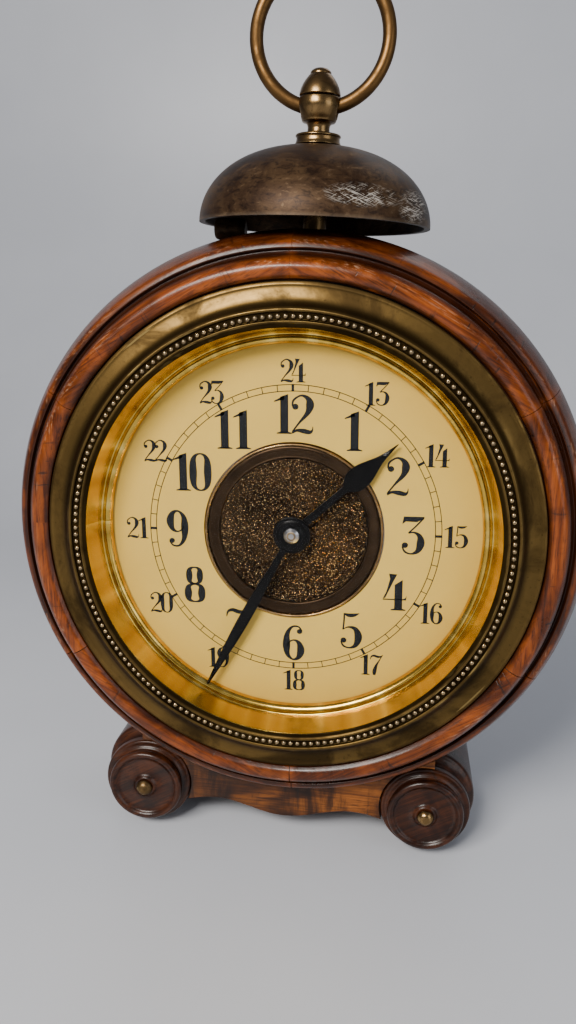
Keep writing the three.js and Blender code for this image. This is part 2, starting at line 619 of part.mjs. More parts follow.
// ---- bell, finial and carrying ring -------------------------------------------------------
const bellGroup = new THREE.Group();
bellGroup.position.set(0, BELL_Y, 0);
clock.add(bellGroup);
const CROWN_Z = BELL_RIM_Z + BELL_HEIGHT;
const POST_TOP = RING_PIVOT_Z - 4;
const onTop = (name, manifold, material) =>
  piece(name, manifold, material, { x: 0, z: 0 }, bellGroup);

// The dome's wall follows a flattened quarter circle from the rim to the crown.
function bell() {
  const steps = 6;
  const wall = (radius, height, base) => Array.from({ length: steps }, (_, i) => {
    const angle = (i / steps) * (Math.PI / 2);
    return [radius * Math.cos(angle) ** 0.86, base + height * Math.sin(angle)];
  });
  const outer = wall(BELL_RIM_RADIUS, BELL_HEIGHT, BELL_RIM_Z);
  const inner = wall(BELL_RIM_RADIUS - BELL_WALL, BELL_HEIGHT - BELL_WALL, BELL_RIM_Z);
  return upright([
    ...outer, [POST_RADIUS + 0.4, CROWN_Z], [POST_RADIUS + 0.4, CROWN_Z - BELL_WALL], ...inner.reverse(),
  ], 32);
}

onTop('bell_post', upright([
  [0, 67], [POST_RADIUS, 67], [POST_RADIUS, 84], [3.4, 84.6], [3.4, CROWN_Z - BELL_WALL - GAP],
  [POST_RADIUS, CROWN_Z - BELL_WALL - GAP], [POST_RADIUS, POST_TOP], [0, POST_TOP],
], 16), oldBrass);
onTop('bell_post_seat', upright([
  [POST_RADIUS + 0.4, DRUM_RADIUS + GAP], [6.4, DRUM_RADIUS + GAP], [5.6, 82], [4, 83.8],
  [POST_RADIUS + 0.4, 83.8],
]), oldBrass);
onTop('bell_post_nut', upright([
  [POST_RADIUS + 0.4, 67.4], [4.6, 67.4], [4.6, 69.4], [POST_RADIUS + 0.4, 69.4],
], 6), steel);
onTop('bell', bell(), bellMetal);
onTop('bell_collar', upright([
  [POST_RADIUS + 0.4, CROWN_Z + GAP], [6, CROWN_Z + GAP], [6.75, CROWN_Z + 1.2], [6.2, CROWN_Z + 2.4],
  [4.6, CROWN_Z + 3.2], [POST_RADIUS + 0.4, CROWN_Z + 3.2],
]), oldBrass);

const SEAM_Z = BELL_RIM_Z + 35;
const ACORN_TOP = BELL_RIM_Z + 42.5;

// The hole through the acorn flares, so the round ring can swing over in it.
function ringHole() {
  const steps = 3;
  const reach = 8;
  const flare = Array.from({ length: 2 * steps + 1 }, (_, i) => {
    const x = (reach * (i - steps)) / steps;
    return [RING_RADIUS - Math.sqrt(RING_RADIUS ** 2 - x ** 2) + RING_WIRE + GAP, x];
  });
  return turned([[0, -reach], ...flare, [0, reach]], 12).rotate([0, 0, 90])
    .translate([0, 0, RING_PIVOT_Z]);
}

onTop('finial_cup', cut(upright([
  [POST_RADIUS + 0.4, CROWN_Z + 3.6], [3.25, CROWN_Z + 3.6], [3.25, 114.8], [5, 115.4],
  [5.9, 116.6], [ACORN_RADIUS, RING_PIVOT_Z], [6.2, 120.8], [5.9, SEAM_Z - GAP], [0, SEAM_Z - GAP],
  [0, POST_TOP + GAP], [POST_RADIUS + 0.4, POST_TOP + GAP],
], 20), ringHole()), oldBrass);
onTop('finial_cap', upright([
  [0, SEAM_Z], [5.8, SEAM_Z], [5.2, 124], [3.7, 126.2], [1.9, 127.7], [1.3, 128.8], [0, ACORN_TOP],
]), oldBrass);

const carryRing = solid(new THREE.TorusGeometry(RING_RADIUS, RING_WIRE, 8, 40)).rotate([90, 0, 0])
  .translate([0, 0, RING_PIVOT_Z + RING_RADIUS]);
onTop('carry_ring', carryRing, oldBrass);

export default clock;
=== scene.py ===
import math

import bmesh
import bpy
from mathutils import Matrix, Vector


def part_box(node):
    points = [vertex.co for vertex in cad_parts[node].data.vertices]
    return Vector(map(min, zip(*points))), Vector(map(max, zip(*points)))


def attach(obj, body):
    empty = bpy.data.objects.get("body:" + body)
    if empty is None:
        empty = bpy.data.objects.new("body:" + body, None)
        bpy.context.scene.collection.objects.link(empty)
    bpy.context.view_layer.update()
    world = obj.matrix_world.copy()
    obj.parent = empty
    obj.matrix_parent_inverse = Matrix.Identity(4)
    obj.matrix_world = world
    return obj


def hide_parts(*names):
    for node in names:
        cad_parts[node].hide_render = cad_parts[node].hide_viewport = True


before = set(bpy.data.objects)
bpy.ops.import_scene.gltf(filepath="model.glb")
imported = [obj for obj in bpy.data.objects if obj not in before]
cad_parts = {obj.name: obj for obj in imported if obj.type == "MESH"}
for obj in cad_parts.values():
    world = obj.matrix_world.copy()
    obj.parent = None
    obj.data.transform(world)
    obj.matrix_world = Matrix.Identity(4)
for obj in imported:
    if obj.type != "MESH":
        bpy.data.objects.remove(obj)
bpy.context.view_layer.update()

# A round wooden mantel alarm clock. Shapes are drawn in millimetres from the dial's centre:
# x to the viewer's right, y back into the case, z up. place() turns them into the frame.
MM = 0.001
DIAL_LOW, DIAL_HIGH = (Vector(corner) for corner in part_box("dial_ring"))
DIAL_CENTRE = Vector(((DIAL_LOW.x + DIAL_HIGH.x) / 2, DIAL_LOW.y, (DIAL_LOW.z + DIAL_HIGH.z) / 2))
BELL_LOW, BELL_HIGH = (Vector(corner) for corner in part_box("bell"))
BELL_Y = ((BELL_LOW.y + BELL_HIGH.y) / 2 - DIAL_CENTRE.y) / MM
BELL_RIM = (BELL_LOW.z - DIAL_CENTRE.z) / MM
TAU = 2 * math.pi
STAVE_TURN = math.radians(2.2)      # the ring's six joints sit a little off the clock hours


def place(x, y, z):
    return DIAL_CENTRE + Vector((x, y, z)) * MM


def local(point):
    """The millimetre coordinates, from the dial's centre, of a point in the frame."""
    return (Vector(point) - DIAL_CENTRE) / MM


# ---- node materials -----------------------------------------------------------------------
class Shading:
    """A material's node tree, with a Principled shader ready to be fed."""

    def __init__(self, name, **sockets):
        self.material = bpy.data.materials.new(name)
        self.material.use_nodes = True
        self.tree = self.material.node_tree
        self.shader = self.tree.nodes["Principled BSDF"]
        for socket, value in sockets.items():
            self.set(self.shader, socket.replace("_", " "), value)

    def set(self, node, socket, value):
        target = node.inputs[socket]
        if isinstance(value, bpy.types.NodeSocket):
            self.tree.links.new(value, target)
        elif isinstance(value, (tuple, list)) and len(value) == 3 and target.type == "RGBA":
            target.default_value = (*value, 1)
        else:
            target.default_value = value

    def node(self, kind, out=0, settings=None, **sockets):
        node = self.tree.nodes.new("ShaderNode" + kind)
        for key, value in (settings or {}).items():
            setattr(node, key, value)
        for socket, value in sockets.items():
            key = int(socket[1:]) if socket[0] == "i" and socket[1:].isdigit() else socket
            self.set(node, key, value)
        return node.outputs[out]

    def maths(self, operation, a, b=0.0):
        return self.node("Math", settings={"operation": operation}, i0=a, i1=b)

    def position(self):
        return self.node("TexCoord", out="Object")

    def from_dial(self):
        return self.node("VectorMath", settings={"operation": "SUBTRACT"}, i0=self.position(),
                         i1=tuple(DIAL_CENTRE))

    def radius(self):
        """Distance in metres from the line through the dial's centre."""
        split = self.node("SeparateXYZ", i0=self.from_dial()).node.outputs
        squares = [self.maths("MULTIPLY", split[axis], split[axis]) for axis in "XZ"]
        return self.maths("SQRT", self.maths("ADD", *squares))

    def stretched(self, vector, scale, shift=(0, 0, 0)):
        return self.node("Mapping", Vector=vector, Scale=scale, Location=shift)

    def noise(self, vector, scale, detail=5.0, roughness=0.55, distortion=0.0):
        return self.node("TexNoise", Vector=vector, Scale=scale, Detail=detail,
                         Roughness=roughness, Distortion=distortion)

    def ramp(self, value, stops, smooth=False):
        output = self.node("ValToRGB", Fac=value)
        ramp = output.node.color_ramp
        ramp.interpolation = "EASE" if smooth else "LINEAR"
        while len(ramp.elements) < len(stops):
            ramp.elements.new(0.5)
        for element, (at, colour) in zip(ramp.elements, stops):
            element.position = at
            element.color = (*colour, 1) if isinstance(colour, tuple) else (colour,) * 3 + (1,)
        return output

    def mix(self, factor, a, b):
        node = self.tree.nodes.new("ShaderNodeMix")
        node.data_type = "RGBA"
        self.set(node, 0, factor)
        self.set(node, 6, a)
        self.set(node, 7, b)
        return node.outputs[2]

    def bump(self, height, strength, distance):
        return self.node("Bump", Height=height, Strength=strength, Distance=distance)

    def finish(self, colour=None, roughness=None, normal=None):
        for socket, value in (("Base Color", colour), ("Roughness", roughness), ("Normal", normal)):
            if value is not None:
                self.set(self.shader, socket, value)
        return self.material


def edge_wear(shade, low=0.51, high=0.56):
    """1 on worn outer edges, 0 on flats and in hollows."""
    pointiness = shade.node("NewGeometry", out="Pointiness")
    return shade.ramp(pointiness, [(low, 0.0), (high, 1.0)])


def wood(name, light, mid, dark, around=False, rough=0.26, grime_and_shade=0.6, turn=0.0, band_darkening=0.0,
         wear=0.25):
    """French-polished wood with fibres, dark pores, patches and worn places. With around, the
    grain lies along six straight staves joined into a ring, with dirt and painted shade in its
    groove and beside the bezel, painted shade on its outer roll, and pale wear and a painted
    highlight on its ridges; otherwise it runs along X, tilted by turn. With band_darkening, the
    left side and a band in the middle are made darker."""
    shade = Shading(name, Coat_Weight=0.2, Coat_Roughness=0.16, Specular_IOR_Level=0.2)
    at = shade.from_dial()
    if around:
        split = shade.node("SeparateXYZ", i0=at).node.outputs
        angle = shade.maths("SUBTRACT", shade.maths("ARCTAN2", split["Z"], split["X"]), STAVE_TURN)
        stave = shade.maths("FLOOR", shade.maths("ADD", shade.maths("DIVIDE", angle, TAU / 6), 0.5))
        lean = shade.maths("ADD", shade.maths("MULTIPLY", stave, TAU / 6), STAVE_TURN)
        at = shade.node("VectorRotate", settings={"rotation_type": "Y_AXIS"}, Vector=at, Angle=lean)
        offset = shade.node("CombineXYZ", X=shade.maths("MULTIPLY", stave, 0.37),
                            Y=shade.maths("MULTIPLY", stave, 0.113), Z=0.0)
        at = shade.node("VectorMath", settings={"operation": "ADD"}, i0=at, i1=offset)
        bands, along, across = (150, 150, 12), (620, 620, 20), (2300, 2300, 110)
        checks, smears = (90, 90, 800), (42, 42, 42)
    else:
        at = shade.node("VectorRotate", settings={"rotation_type": "Y_AXIS"}, Vector=at, Angle=turn)
        bands, along, across = (12, 150, 150), (20, 620, 620), (110, 2300, 2300)
        checks, smears = (800, 90, 90), (75, 35, 16)
    band = shade.noise(shade.stretched(at, bands), 1.0, 4, 0.55, 0.5)
    fibre = shade.noise(shade.stretched(at, along), 1.0, 8, 0.66, 0.4)
    pores = shade.noise(shade.stretched(at, across), 1.0, 3, 0.7)
    patches = shade.noise(shade.stretched(at, smears), 1.0, 6, 0.62, 0.9)
    tone = shade.maths("ADD", shade.maths("MULTIPLY", fibre, 0.65), shade.maths("MULTIPLY", band, 0.35))
    figure = shade.ramp(tone, [(0.36, dark), (0.46, mid), (0.56, light), (0.70, mid)])
    pore_dark = shade.ramp(pores, [(0.36, 1.0), (0.47, 0.0)])
    colour = shade.mix(shade.maths("MULTIPLY", pore_dark, 0.7), figure, dark)
    # the dark colour of stains, dirt and darker bands, and of the painted shade on the ring
    dirt_and_shade_colour = tuple(c * 0.3 for c in dark)
    stain = shade.ramp(patches, [(0.38, 1.0), (0.60, 0.0)], smooth=True)
    colour = shade.mix(shade.maths("MULTIPLY", stain, grime_and_shade), colour, dirt_and_shade_colour)
    if band_darkening:
        # darker on the left side and in a band in the middle
        sideways = shade.node("SeparateXYZ", i0=shade.from_dial()).node.outputs["X"]
        dark_band_place = shade.maths("ADD", shade.maths("MULTIPLY", sideways, 10.0),
                             shade.maths("ADD", shade.maths("MULTIPLY", band, 0.5), 0.25))
        dark_bands = shade.ramp(dark_band_place, [(0.20, 0.75), (0.34, 0.95), (0.44, 0.45), (0.52, 1.0),
                                     (0.62, 0.05)], smooth=True)
        colour = shade.mix(shade.maths("MULTIPLY", dark_bands, band_darkening), colour, dirt_and_shade_colour)
    crackle = shade.noise(shade.stretched(at, checks), 1.0, 2, 0.6, 0.3)
    crack = shade.maths("MULTIPLY", shade.ramp(crackle, [(0.64, 0.0), (0.67, 1.0)]),
                        shade.ramp(patches, [(0.40, 1.0), (0.58, 0.0)]))
    colour = shade.mix(shade.maths("MULTIPLY", crack, 0.85), colour, (0.010, 0.005, 0.003))
    if around:
        # old polish and dirt lie in the groove and beside the bezel; painted shade darkens them further and
        # makes the outer roll darker
        wobble = shade.maths("MULTIPLY", shade.maths("SUBTRACT", patches, 0.5), 0.0022)
        radius = shade.maths("MULTIPLY", shade.maths("ADD", shade.radius(), wobble), 10.0)
        dirt = shade.ramp(radius, [(0.714, 0.95), (0.728, 0.10), (0.760, 0.10), (0.772, 1.0),
                                   (0.797, 1.0), (0.806, 0.50), (0.832, 0.62), (0.852, 0.95)])
        colour = shade.mix(shade.maths("MULTIPLY", dirt, 0.92), colour, dirt_and_shade_colour)
        # the two ridges are rubbed pale in short strokes, partly wear and partly a painted highlight on
        # their crests
        ridges = shade.ramp(radius, [(0.742, 0.0), (0.750, 1.0), (0.762, 1.0), (0.768, 0.0),
                                     (0.799, 0.0), (0.806, 1.0), (0.822, 0.7), (0.834, 0.0)])
        strokes = shade.maths("MULTIPLY", shade.ramp(pores, [(0.56, 0.0), (0.62, 1.0)]),
                              shade.ramp(band, [(0.50, 0.0), (0.60, 1.0)]))
        rubbed_sheen = shade.maths("MULTIPLY", ridges, strokes)
        colour = shade.mix(shade.maths("MULTIPLY", rubbed_sheen, 0.55), colour, (0.42, 0.27, 0.17))
    colour = shade.mix(shade.maths("MULTIPLY", edge_wear(shade), wear), colour, light)
    roughness = shade.maths("ADD", shade.maths("MULTIPLY", patches, 0.3), rough - 0.1)
    relief = shade.maths("SUBTRACT", shade.maths("MULTIPLY", fibre, 0.5),
                         shade.maths("ADD", shade.maths("MULTIPLY", pore_dark, 0.3), crack))
    return shade.finish(colour, roughness, shade.bump(relief, 0.3, 0.0002))


def brass(name, base, tarnish, bright, rough=0.32, tarnish_at=(0.42, 0.62), grain=0.15,
          scale=60.0, wear=0.5, shaded=()):
    """Aged brass: mottled tarnish, fine specks, brighter rubbed edges."""
    shade = Shading(name, Metallic=1.0)
    at = shade.position()
    cloud = shade.noise(at, scale, 7, 0.62, 0.7)
    speck = shade.noise(at, scale * 18, 4, 0.7)
    dirt = shade.ramp(cloud, [(tarnish_at[0], 0.0), (tarnish_at[1], 1.0)], smooth=True)
    colour = shade.mix(dirt, base, tarnish)
    spots = shade.ramp(speck, [(0.60, 0.0), (0.70, 1.0)])
    colour = shade.mix(shade.maths("MULTIPLY", spots, 0.5), colour, tuple(c * 0.35 for c in tarnish))
    colour = shade.mix(shade.maths("MULTIPLY", edge_wear(shade), wear), colour, bright)
    # painted shade: with shaded, the bezel's grooves and coves are darkened by radius
    if shaded:
        grime_and_shade = shade.ramp(shade.maths("MULTIPLY", shade.radius(), 10.0), shaded)
        colour = shade.mix(grime_and_shade, colour, tuple(c * 0.12 for c in tarnish))
    roughness = shade.maths("ADD", shade.maths("MULTIPLY", dirt, 0.22),
                            shade.maths("ADD", shade.maths("MULTIPLY", speck, 0.12), rough - 0.06))
    return shade.finish(colour, roughness, shade.bump(speck, grain, 0.00008))


def polished_surround():
    """Bright gilt brass with browner bands and streaks running outwards."""
    shade = Shading("polished_surround", Metallic=1.0)
    at = shade.from_dial()
    split = shade.node("SeparateXYZ", i0=at).node.outputs
    angle = shade.maths("ARCTAN2", split["Z"], split["X"])
    streaks = shade.node("TexNoise", settings={"noise_dimensions": "1D"},
                         W=shade.maths("MULTIPLY", angle, 9.0), Scale=1.0, Detail=2.0, Roughness=0.5)
    cloud = shade.noise(at, 60, 6, 0.6, 1.0)
    fine = shade.noise(at, 900, 3, 0.6)
    tone = shade.maths("ADD", shade.maths("MULTIPLY", streaks, 0.8), shade.maths("MULTIPLY", cloud, 0.2))
    colour = shade.ramp(tone, [(0.22, (0.42, 0.24, 0.032)), (0.50, (0.63, 0.395, 0.062)),
                               (0.80, (0.92, 0.68, 0.19))])
    colour = shade.mix(shade.maths("MULTIPLY", shade.ramp(fine, [(0.6, 0.0), (0.72, 1.0)]), 0.3),
                       colour, (0.24, 0.14, 0.03))
    lines = shade.node("TexNoise", settings={"noise_dimensions": "1D"},
                       W=shade.maths("MULTIPLY", shade.radius(), 6000.0), Scale=1.0, Detail=2.0)
    roughness = shade.maths("ADD", shade.maths("MULTIPLY", cloud, 0.18), 0.12)
    return shade.finish(colour, roughness, shade.bump(lines, 0.12, 0.00003))


def bell_patina():
    """Bell metal gone brown, mottled with dark pits, scratched pale on the right of its front."""
    shade = Shading("bell_patina", Metallic=0.45, Specular_IOR_Level=0.18)
    at = shade.position()
    cloud = shade.noise(at, 60, 8, 0.66, 0.9)
    mottle = shade.noise(shade.stretched(at, (0.7, 0.7, 1.5)), 420, 8, 0.74, 0.5)
    colour = shade.ramp(cloud, [(0.32, (0.013, 0.006, 0.0030)), (0.47, (0.032, 0.016, 0.0075)),
                                (0.60, (0.064, 0.036, 0.017)), (0.74, (0.024, 0.012, 0.006))])
    pits = shade.ramp(mottle, [(0.40, 1.0), (0.49, 0.0)])
    colour = shade.mix(shade.maths("MULTIPLY", pits, 0.75), colour, (0.009, 0.004, 0.0025))
    pale = shade.ramp(mottle, [(0.57, 0.0), (0.68, 1.0)])
    colour = shade.mix(shade.maths("MULTIPLY", pale, 0.5), colour, (0.17, 0.11, 0.06))
    scratched = 0.0
    for across, up, wide, tall in ((15, 5.8, 11, 3.4), (28.5, 4.4, 4.4, 5.2)):
        middle = place(across, BELL_Y - 22, BELL_RIM + up)
        offset = shade.node("VectorMath", settings={"operation": "SUBTRACT"}, i0=at, i1=tuple(middle))
        squeezed = shade.stretched(offset, (1 / (wide * MM), 1 / (40 * MM), 1 / (tall * MM)))
        reach = shade.node("VectorMath", out="Value", settings={"operation": "LENGTH"}, i0=squeezed)
        scratched = shade.maths("MAXIMUM", shade.ramp(reach, [(0.45, 1.0), (1.0, 0.0)]), scratched)
    hairs = 0.0
    for lean, shift in ((0.55, 0.0), (-0.35, 0.7)):
        leaning = shade.node("VectorRotate", settings={"rotation_type": "Y_AXIS"}, Vector=at, Angle=lean)
        hair = shade.noise(shade.stretched(leaning, (260, 260, 3300), (shift, 0, 0)), 1.0, 3, 0.7, 0.5)
        hairs = shade.maths("MAXIMUM", shade.ramp(hair, [(0.555, 0.0), (0.610, 1.0)]), hairs)
    scratch = shade.maths("MULTIPLY", scratched, hairs)
    colour = shade.mix(shade.maths("MULTIPLY", scratch, 0.85), colour, (0.62, 0.57, 0.50))
    colour = shade.mix(shade.maths("MULTIPLY", edge_wear(shade, 0.53, 0.6), 0.25), colour,
                       (0.34, 0.26, 0.18))
    roughness = shade.maths("ADD", shade.maths("MULTIPLY", mottle, 0.3), 0.30)
    return shade.finish(colour, roughness, shade.bump(mottle, 0.3, 0.00012))


def dial_paper():
    """Cream printed card, yellowed, darker towards the edge, with foxing specks."""
    shade = Shading("dial_paper", Roughness=0.55, Specular_IOR_Level=0.25)
    at = shade.from_dial()
    age = shade.ramp(shade.maths("MULTIPLY", shade.radius(), 1 / 0.056),
                     [(0.45, (0.74, 0.49, 0.088)), (0.85, (0.72, 0.465, 0.080)),
                      (0.97, (0.66, 0.415, 0.066))])
    cloud = shade.noise(at, 45, 5, 0.6)
    colour = shade.mix(shade.ramp(cloud, [(0.35, 0.25), (0.65, 0.0)]), age, (0.56, 0.34, 0.060))
    fox = shade.noise(at, 950, 3, 0.75)
    where = shade.ramp(shade.noise(at, 70, 3), [(0.52, 0.0), (0.62, 1.0)])
    spots = shade.maths("MULTIPLY", shade.ramp(fox, [(0.66, 0.0), (0.72, 1.0)]), where)
    colour = shade.mix(shade.maths("MULTIPLY", spots, 0.55), colour, (0.22, 0.14, 0.06))
    return shade.finish(colour, None, shade.bump(shade.noise(at, 2400, 3), 0.05, 0.00003))


def embossed_bronze():
    """A pebbled bronze field whose high spots are painted gold as highlights."""
    shade = Shading("embossed_bronze", Metallic=1.0)
    at = shade.position()
    wobble = shade.noise(at, 520, 3, 0.6)
    pebbles = shade.node("TexVoronoi", out="Distance", settings={"feature": "SMOOTH_F1"},
                         Vector=shade.stretched(at, (1, 1, 1.25)), Scale=1600.0, Smoothness=0.30,
                         Randomness=1.0)
    height = shade.maths("ADD", shade.maths("MULTIPLY", pebbles, -1.0),
                         shade.maths("MULTIPLY", wobble, 0.45))
    tone = shade.ramp(shade.noise(at, 90, 5, 0.6), [(0.35, (0.018, 0.010, 0.005)),
                                                    (0.6, (0.038, 0.021, 0.010))])
    # painted highlights: the pebbles' high spots are coloured bright gold
    painted_glints = shade.ramp(pebbles, [(0.10, 1.0), (0.27, 0.0)])
    colour = shade.mix(shade.maths("MULTIPLY", painted_glints, 0.9), tone, (0.88, 0.62, 0.30))
    return shade.finish(colour, shade.ramp(wobble, [(0.3, 0.16), (0.7, 0.34)]),
                        shade.bump(height, 1.0, 0.0004))


def metal(name, colour, rough, scale=300.0, variation=0.12, metallic=1.0, spread=0.1, sheen=0.5):
    """Plain machined metal or paint with fine streaks and uneven gloss."""
    shade = Shading(name, Metallic=metallic, Specular_IOR_Level=sheen)
    at = shade.position()
    streak = shade.noise(shade.stretched(at, (1, 0.25, 1)), scale, 5, 0.6)
    tone = shade.mix(shade.ramp(streak, [(0.3, 0.0), (0.7, 1.0)]),
                     tuple(c * (1 - variation) for c in colour),
                     tuple(min(1, c * (1 + variation)) for c in colour))
    roughness = shade.maths("ADD", shade.maths("MULTIPLY", streak, spread * 2), rough - spread)
    return shade.finish(tone, roughness, shade.bump(streak, 0.06, 0.00004))


def clear_glass():
    """Thin flat glass: see-through, with a faint hard reflection and a little dust."""
    shade = Shading("clear_glass", Roughness=0.04, IOR=1.5)
    dust = shade.noise(shade.position(), 600, 4, 0.7)
    shade.set(shade.shader, "Base Color", (0.012, 0.013, 0.012))
    shade.set(shade.shader, "Alpha", shade.ramp(dust, [(0.45, 0.025), (0.8, 0.05)]))
    return shade.material


def studio_floor():
    shade = Shading("studio_floor", Roughness=0.38)
    tone = shade.ramp(shade.noise(shade.position(), 6, 4), [(0.3, (0.53, 0.55, 0.60)),
                                                          (0.7, (0.58, 0.60, 0.65))])
    return shade.finish(tone)


MAHOGANY = dict(light=(0.30, 0.068, 0.0065), mid=(0.165, 0.033, 0.0035), dark=(0.036, 0.008, 0.002))
APRON = dict(light=(0.29, 0.090, 0.013), mid=(0.15, 0.044, 0.007), dark=(0.030, 0.009, 0.003))
WALNUT = dict(light=(0.060, 0.016, 0.004), mid=(0.027, 0.007, 0.0022), dark=(0.008, 0.0025, 0.0012))
BEZEL_SHADE = [(0.588, 0.85), (0.599, 0.80), (0.602, 0.0), (0.607, 0.0), (0.609, 0.85), (0.630, 0.85),
               (0.6315, 0.0), (0.639, 0.1), (0.644, 0.62), (0.672, 0.0)]
LOOK = {
    "ring_wood": wood("ring_wood", **MAHOGANY, around=True),
    "drum_wood": wood("drum_wood", **MAHOGANY, around=True, rough=0.34, grime_and_shade=0.75),
    "saddle_wood": wood("saddle_wood", **APRON, grime_and_shade=0.9, rough=0.34, band_darkening=0.85, wear=0.0),
    "foot_wood": wood("foot_wood", **WALNUT, grime_and_shade=0.5, rough=0.28, turn=0.5, wear=0.12),
    "bezel_brass": brass("bezel_brass", (0.130, 0.079, 0.024), (0.048, 0.029, 0.010),
                         (0.40, 0.28, 0.10), rough=0.36, scale=45, shaded=BEZEL_SHADE),
    "bead_brass": brass("bead_brass", (0.27, 0.18, 0.085), (0.10, 0.064, 0.032), (0.7, 0.56, 0.34),
                        rough=0.2, scale=300, wear=0.2),
    "surround": polished_surround(),
    "finial_brass": brass("finial_brass", (0.200, 0.122, 0.050), (0.062, 0.037, 0.017),
                          (0.50, 0.34, 0.15), rough=0.25, scale=90, tarnish_at=(0.44, 0.68)),
    "ring_brass": brass("ring_brass", (0.120, 0.062, 0.022), (0.052, 0.028, 0.012),
                        (0.32, 0.17, 0.05), rough=0.38, scale=70, tarnish_at=(0.46, 0.7)),
    "knob_brass": brass("knob_brass", (0.34, 0.23, 0.08), (0.14, 0.09, 0.038), (0.7, 0.54, 0.26),
                        rough=0.3, scale=120),
    "back_brass": brass("back_brass", (0.32, 0.23, 0.10), (0.16, 0.11, 0.052), (0.6, 0.48, 0.26),
                        rough=0.4, scale=28, grain=0.3, wear=0.0),
    "movement_brass": metal("movement_brass", (0.66, 0.46, 0.19), 0.3),
    "bell": bell_patina(),
    "paper": dial_paper(),
    "ink": metal("dial_ink", (0.010, 0.011, 0.013), 0.6, metallic=0.0, sheen=0.15),
    "bronze": embossed_bronze(),
    "dark_bronze": metal("dark_bronze", (0.048, 0.029, 0.016), 0.38, scale=200, variation=0.3),
    "rim_brass": brass("rim_brass", (0.36, 0.22, 0.09), (0.10, 0.055, 0.024), (0.7, 0.5, 0.24),
                       rough=0.24, scale=110, tarnish_at=(0.46, 0.66)),
    "blued": metal("blued_steel", (0.0022, 0.0020, 0.0022), 0.30, metallic=0.0, variation=0.2,
                   spread=0.05, sheen=0.14),
    "pin": metal("hand_pin_brass", (0.26, 0.19, 0.11), 0.45, scale=900, variation=0.4),
    "steel": metal("bright_steel", (0.42, 0.42, 0.43), 0.3),
    "spring": metal("spring_steel", (0.08, 0.09, 0.13), 0.3),
    "glass": clear_glass(),
    "joint": metal("dark_glue", (0.028, 0.016, 0.007), 0.7, metallic=0.0),
}


# ---- mesh building ------------------------------------------------------------------------
SHARP = math.radians(38)


def build(name, verts, faces, look, body="case", slot=None, replaces=(), smooth=True):
    """A mesh object from points in the frame, riding on a body."""
    mesh = bpy.data.meshes.new(name)
    mesh.from_pydata([tuple(v) for v in verts], [], faces)
    made = bmesh.new()
    made.from_mesh(mesh)
    bmesh.ops.remove_doubles(made, verts=made.verts, dist=1e-7)
    bmesh.ops.dissolve_degenerate(made, edges=made.edges, dist=1e-8)
    bmesh.ops.recalc_face_normals(made, faces=made.faces)
    made.to_mesh(mesh)
    made.free()
    obj = bpy.data.objects.new(name, mesh)
    bpy.context.scene.collection.objects.link(obj)
    dress(obj, look, smooth)
    settle(obj, body, replaces)
    return obj


def dress(obj, look, smooth=True):
    obj.data.materials.clear()
    obj.data.materials.append(LOOK[look])
    for polygon in obj.data.polygons:
        polygon.use_smooth = smooth
    if smooth:
        obj.data.set_sharp_from_angle(angle=SHARP)


def settle(obj, body, replaces=()):
    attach(obj, body)
    if replaces:
        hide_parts(*replaces)


def soften(corners, steps=5, closed=True):
    """A profile of (radius, depth, fillet) corners with each corner rounded by its fillet."""
    points = []
    count = len(corners)
    for i, corner in enumerate(corners):
        here = Vector(corner[:2])
        fillet = corner[2] if len(corner) > 2 else 0
        last, following = Vector(corners[i - 1][:2]), Vector(corners[(i + 1) % count][:2])
        ends = not closed and i in (0, count - 1)
        if fillet <= 0 or ends:
            points.append(tuple(here))
            continue
        reach_in = min(fillet, (here - last).length * 0.499)
        reach_out = min(fillet, (following - here).length * 0.499)
        start = here + (last - here).normalized() * reach_in
        end = here + (following - here).normalized() * reach_out
        for k in range(steps + 1):
            t = k / steps
            points.append(tuple(start.lerp(here, t).lerp(here.lerp(end, t), t)))
    return points


def turned(profile, steps=160, centre=(0, 0), axis="Y", span=(0, TAU)):
    """Points and faces of a profile of (radius, depth) turned about a line along Y through
    centre (x, z), or along Z through centre (x, y). A part turn is closed at both ends."""
    whole = abs(span[1] - span[0] - TAU) < 1e-6
    rings = steps if whole else steps + 1
    verts = []
    for k in range(rings):
        angle = span[0] + (span[1] - span[0]) * k / steps
        for radius, depth in profile:
            u, v = radius * math.cos(angle), radius * math.sin(angle)
            if axis == "Y":
                verts.append(place(centre[0] + u, depth, centre[1] + v))
            else:
                verts.append(place(centre[0] + u, centre[1] + v, depth))
    count = len(profile)
    closed = profile[0][0] > 1e-9
    faces = []
    for k in range(steps):
        a, b = k * count, ((k + 1) % rings) * count
        for i in range(count if closed else count - 1):
            j = (i + 1) % count
            faces.append((a + i, a + j, b + j, b + i))
    if not whole:
        faces += [tuple(range(count)), tuple(range((rings - 1) * count, rings * count))]
    return verts, faces


def turning(name, corners, look, steps=160, centre=(0, 0), axis="Y", span=(0, TAU), rounds=5, **kw):
    closed = corners[0][0] > 1e-9
    verts, faces = turned(soften(corners, rounds, closed), steps, centre, axis, span)
    return build(name, verts, faces, look, **kw)


def prism(outline, y0, y1):
    """A flat outline of (x, z) points filled from depth y0 to y1."""
    count = len(outline)
    verts = [place(x, y, z) for y in (y0, y1) for x, z in outline]
    faces = [tuple(range(count)), tuple(range(count, 2 * count))]
    faces += [(i, (i + 1) % count, count + (i + 1) % count, count + i) for i in range(count)]
    return verts, faces


def gather(parts):
    verts, faces = [], []
    for more_verts, more_faces in parts:
        base = len(verts)
        verts += more_verts
        faces += [tuple(base + i for i in face) for face in more_faces]
    return verts, faces


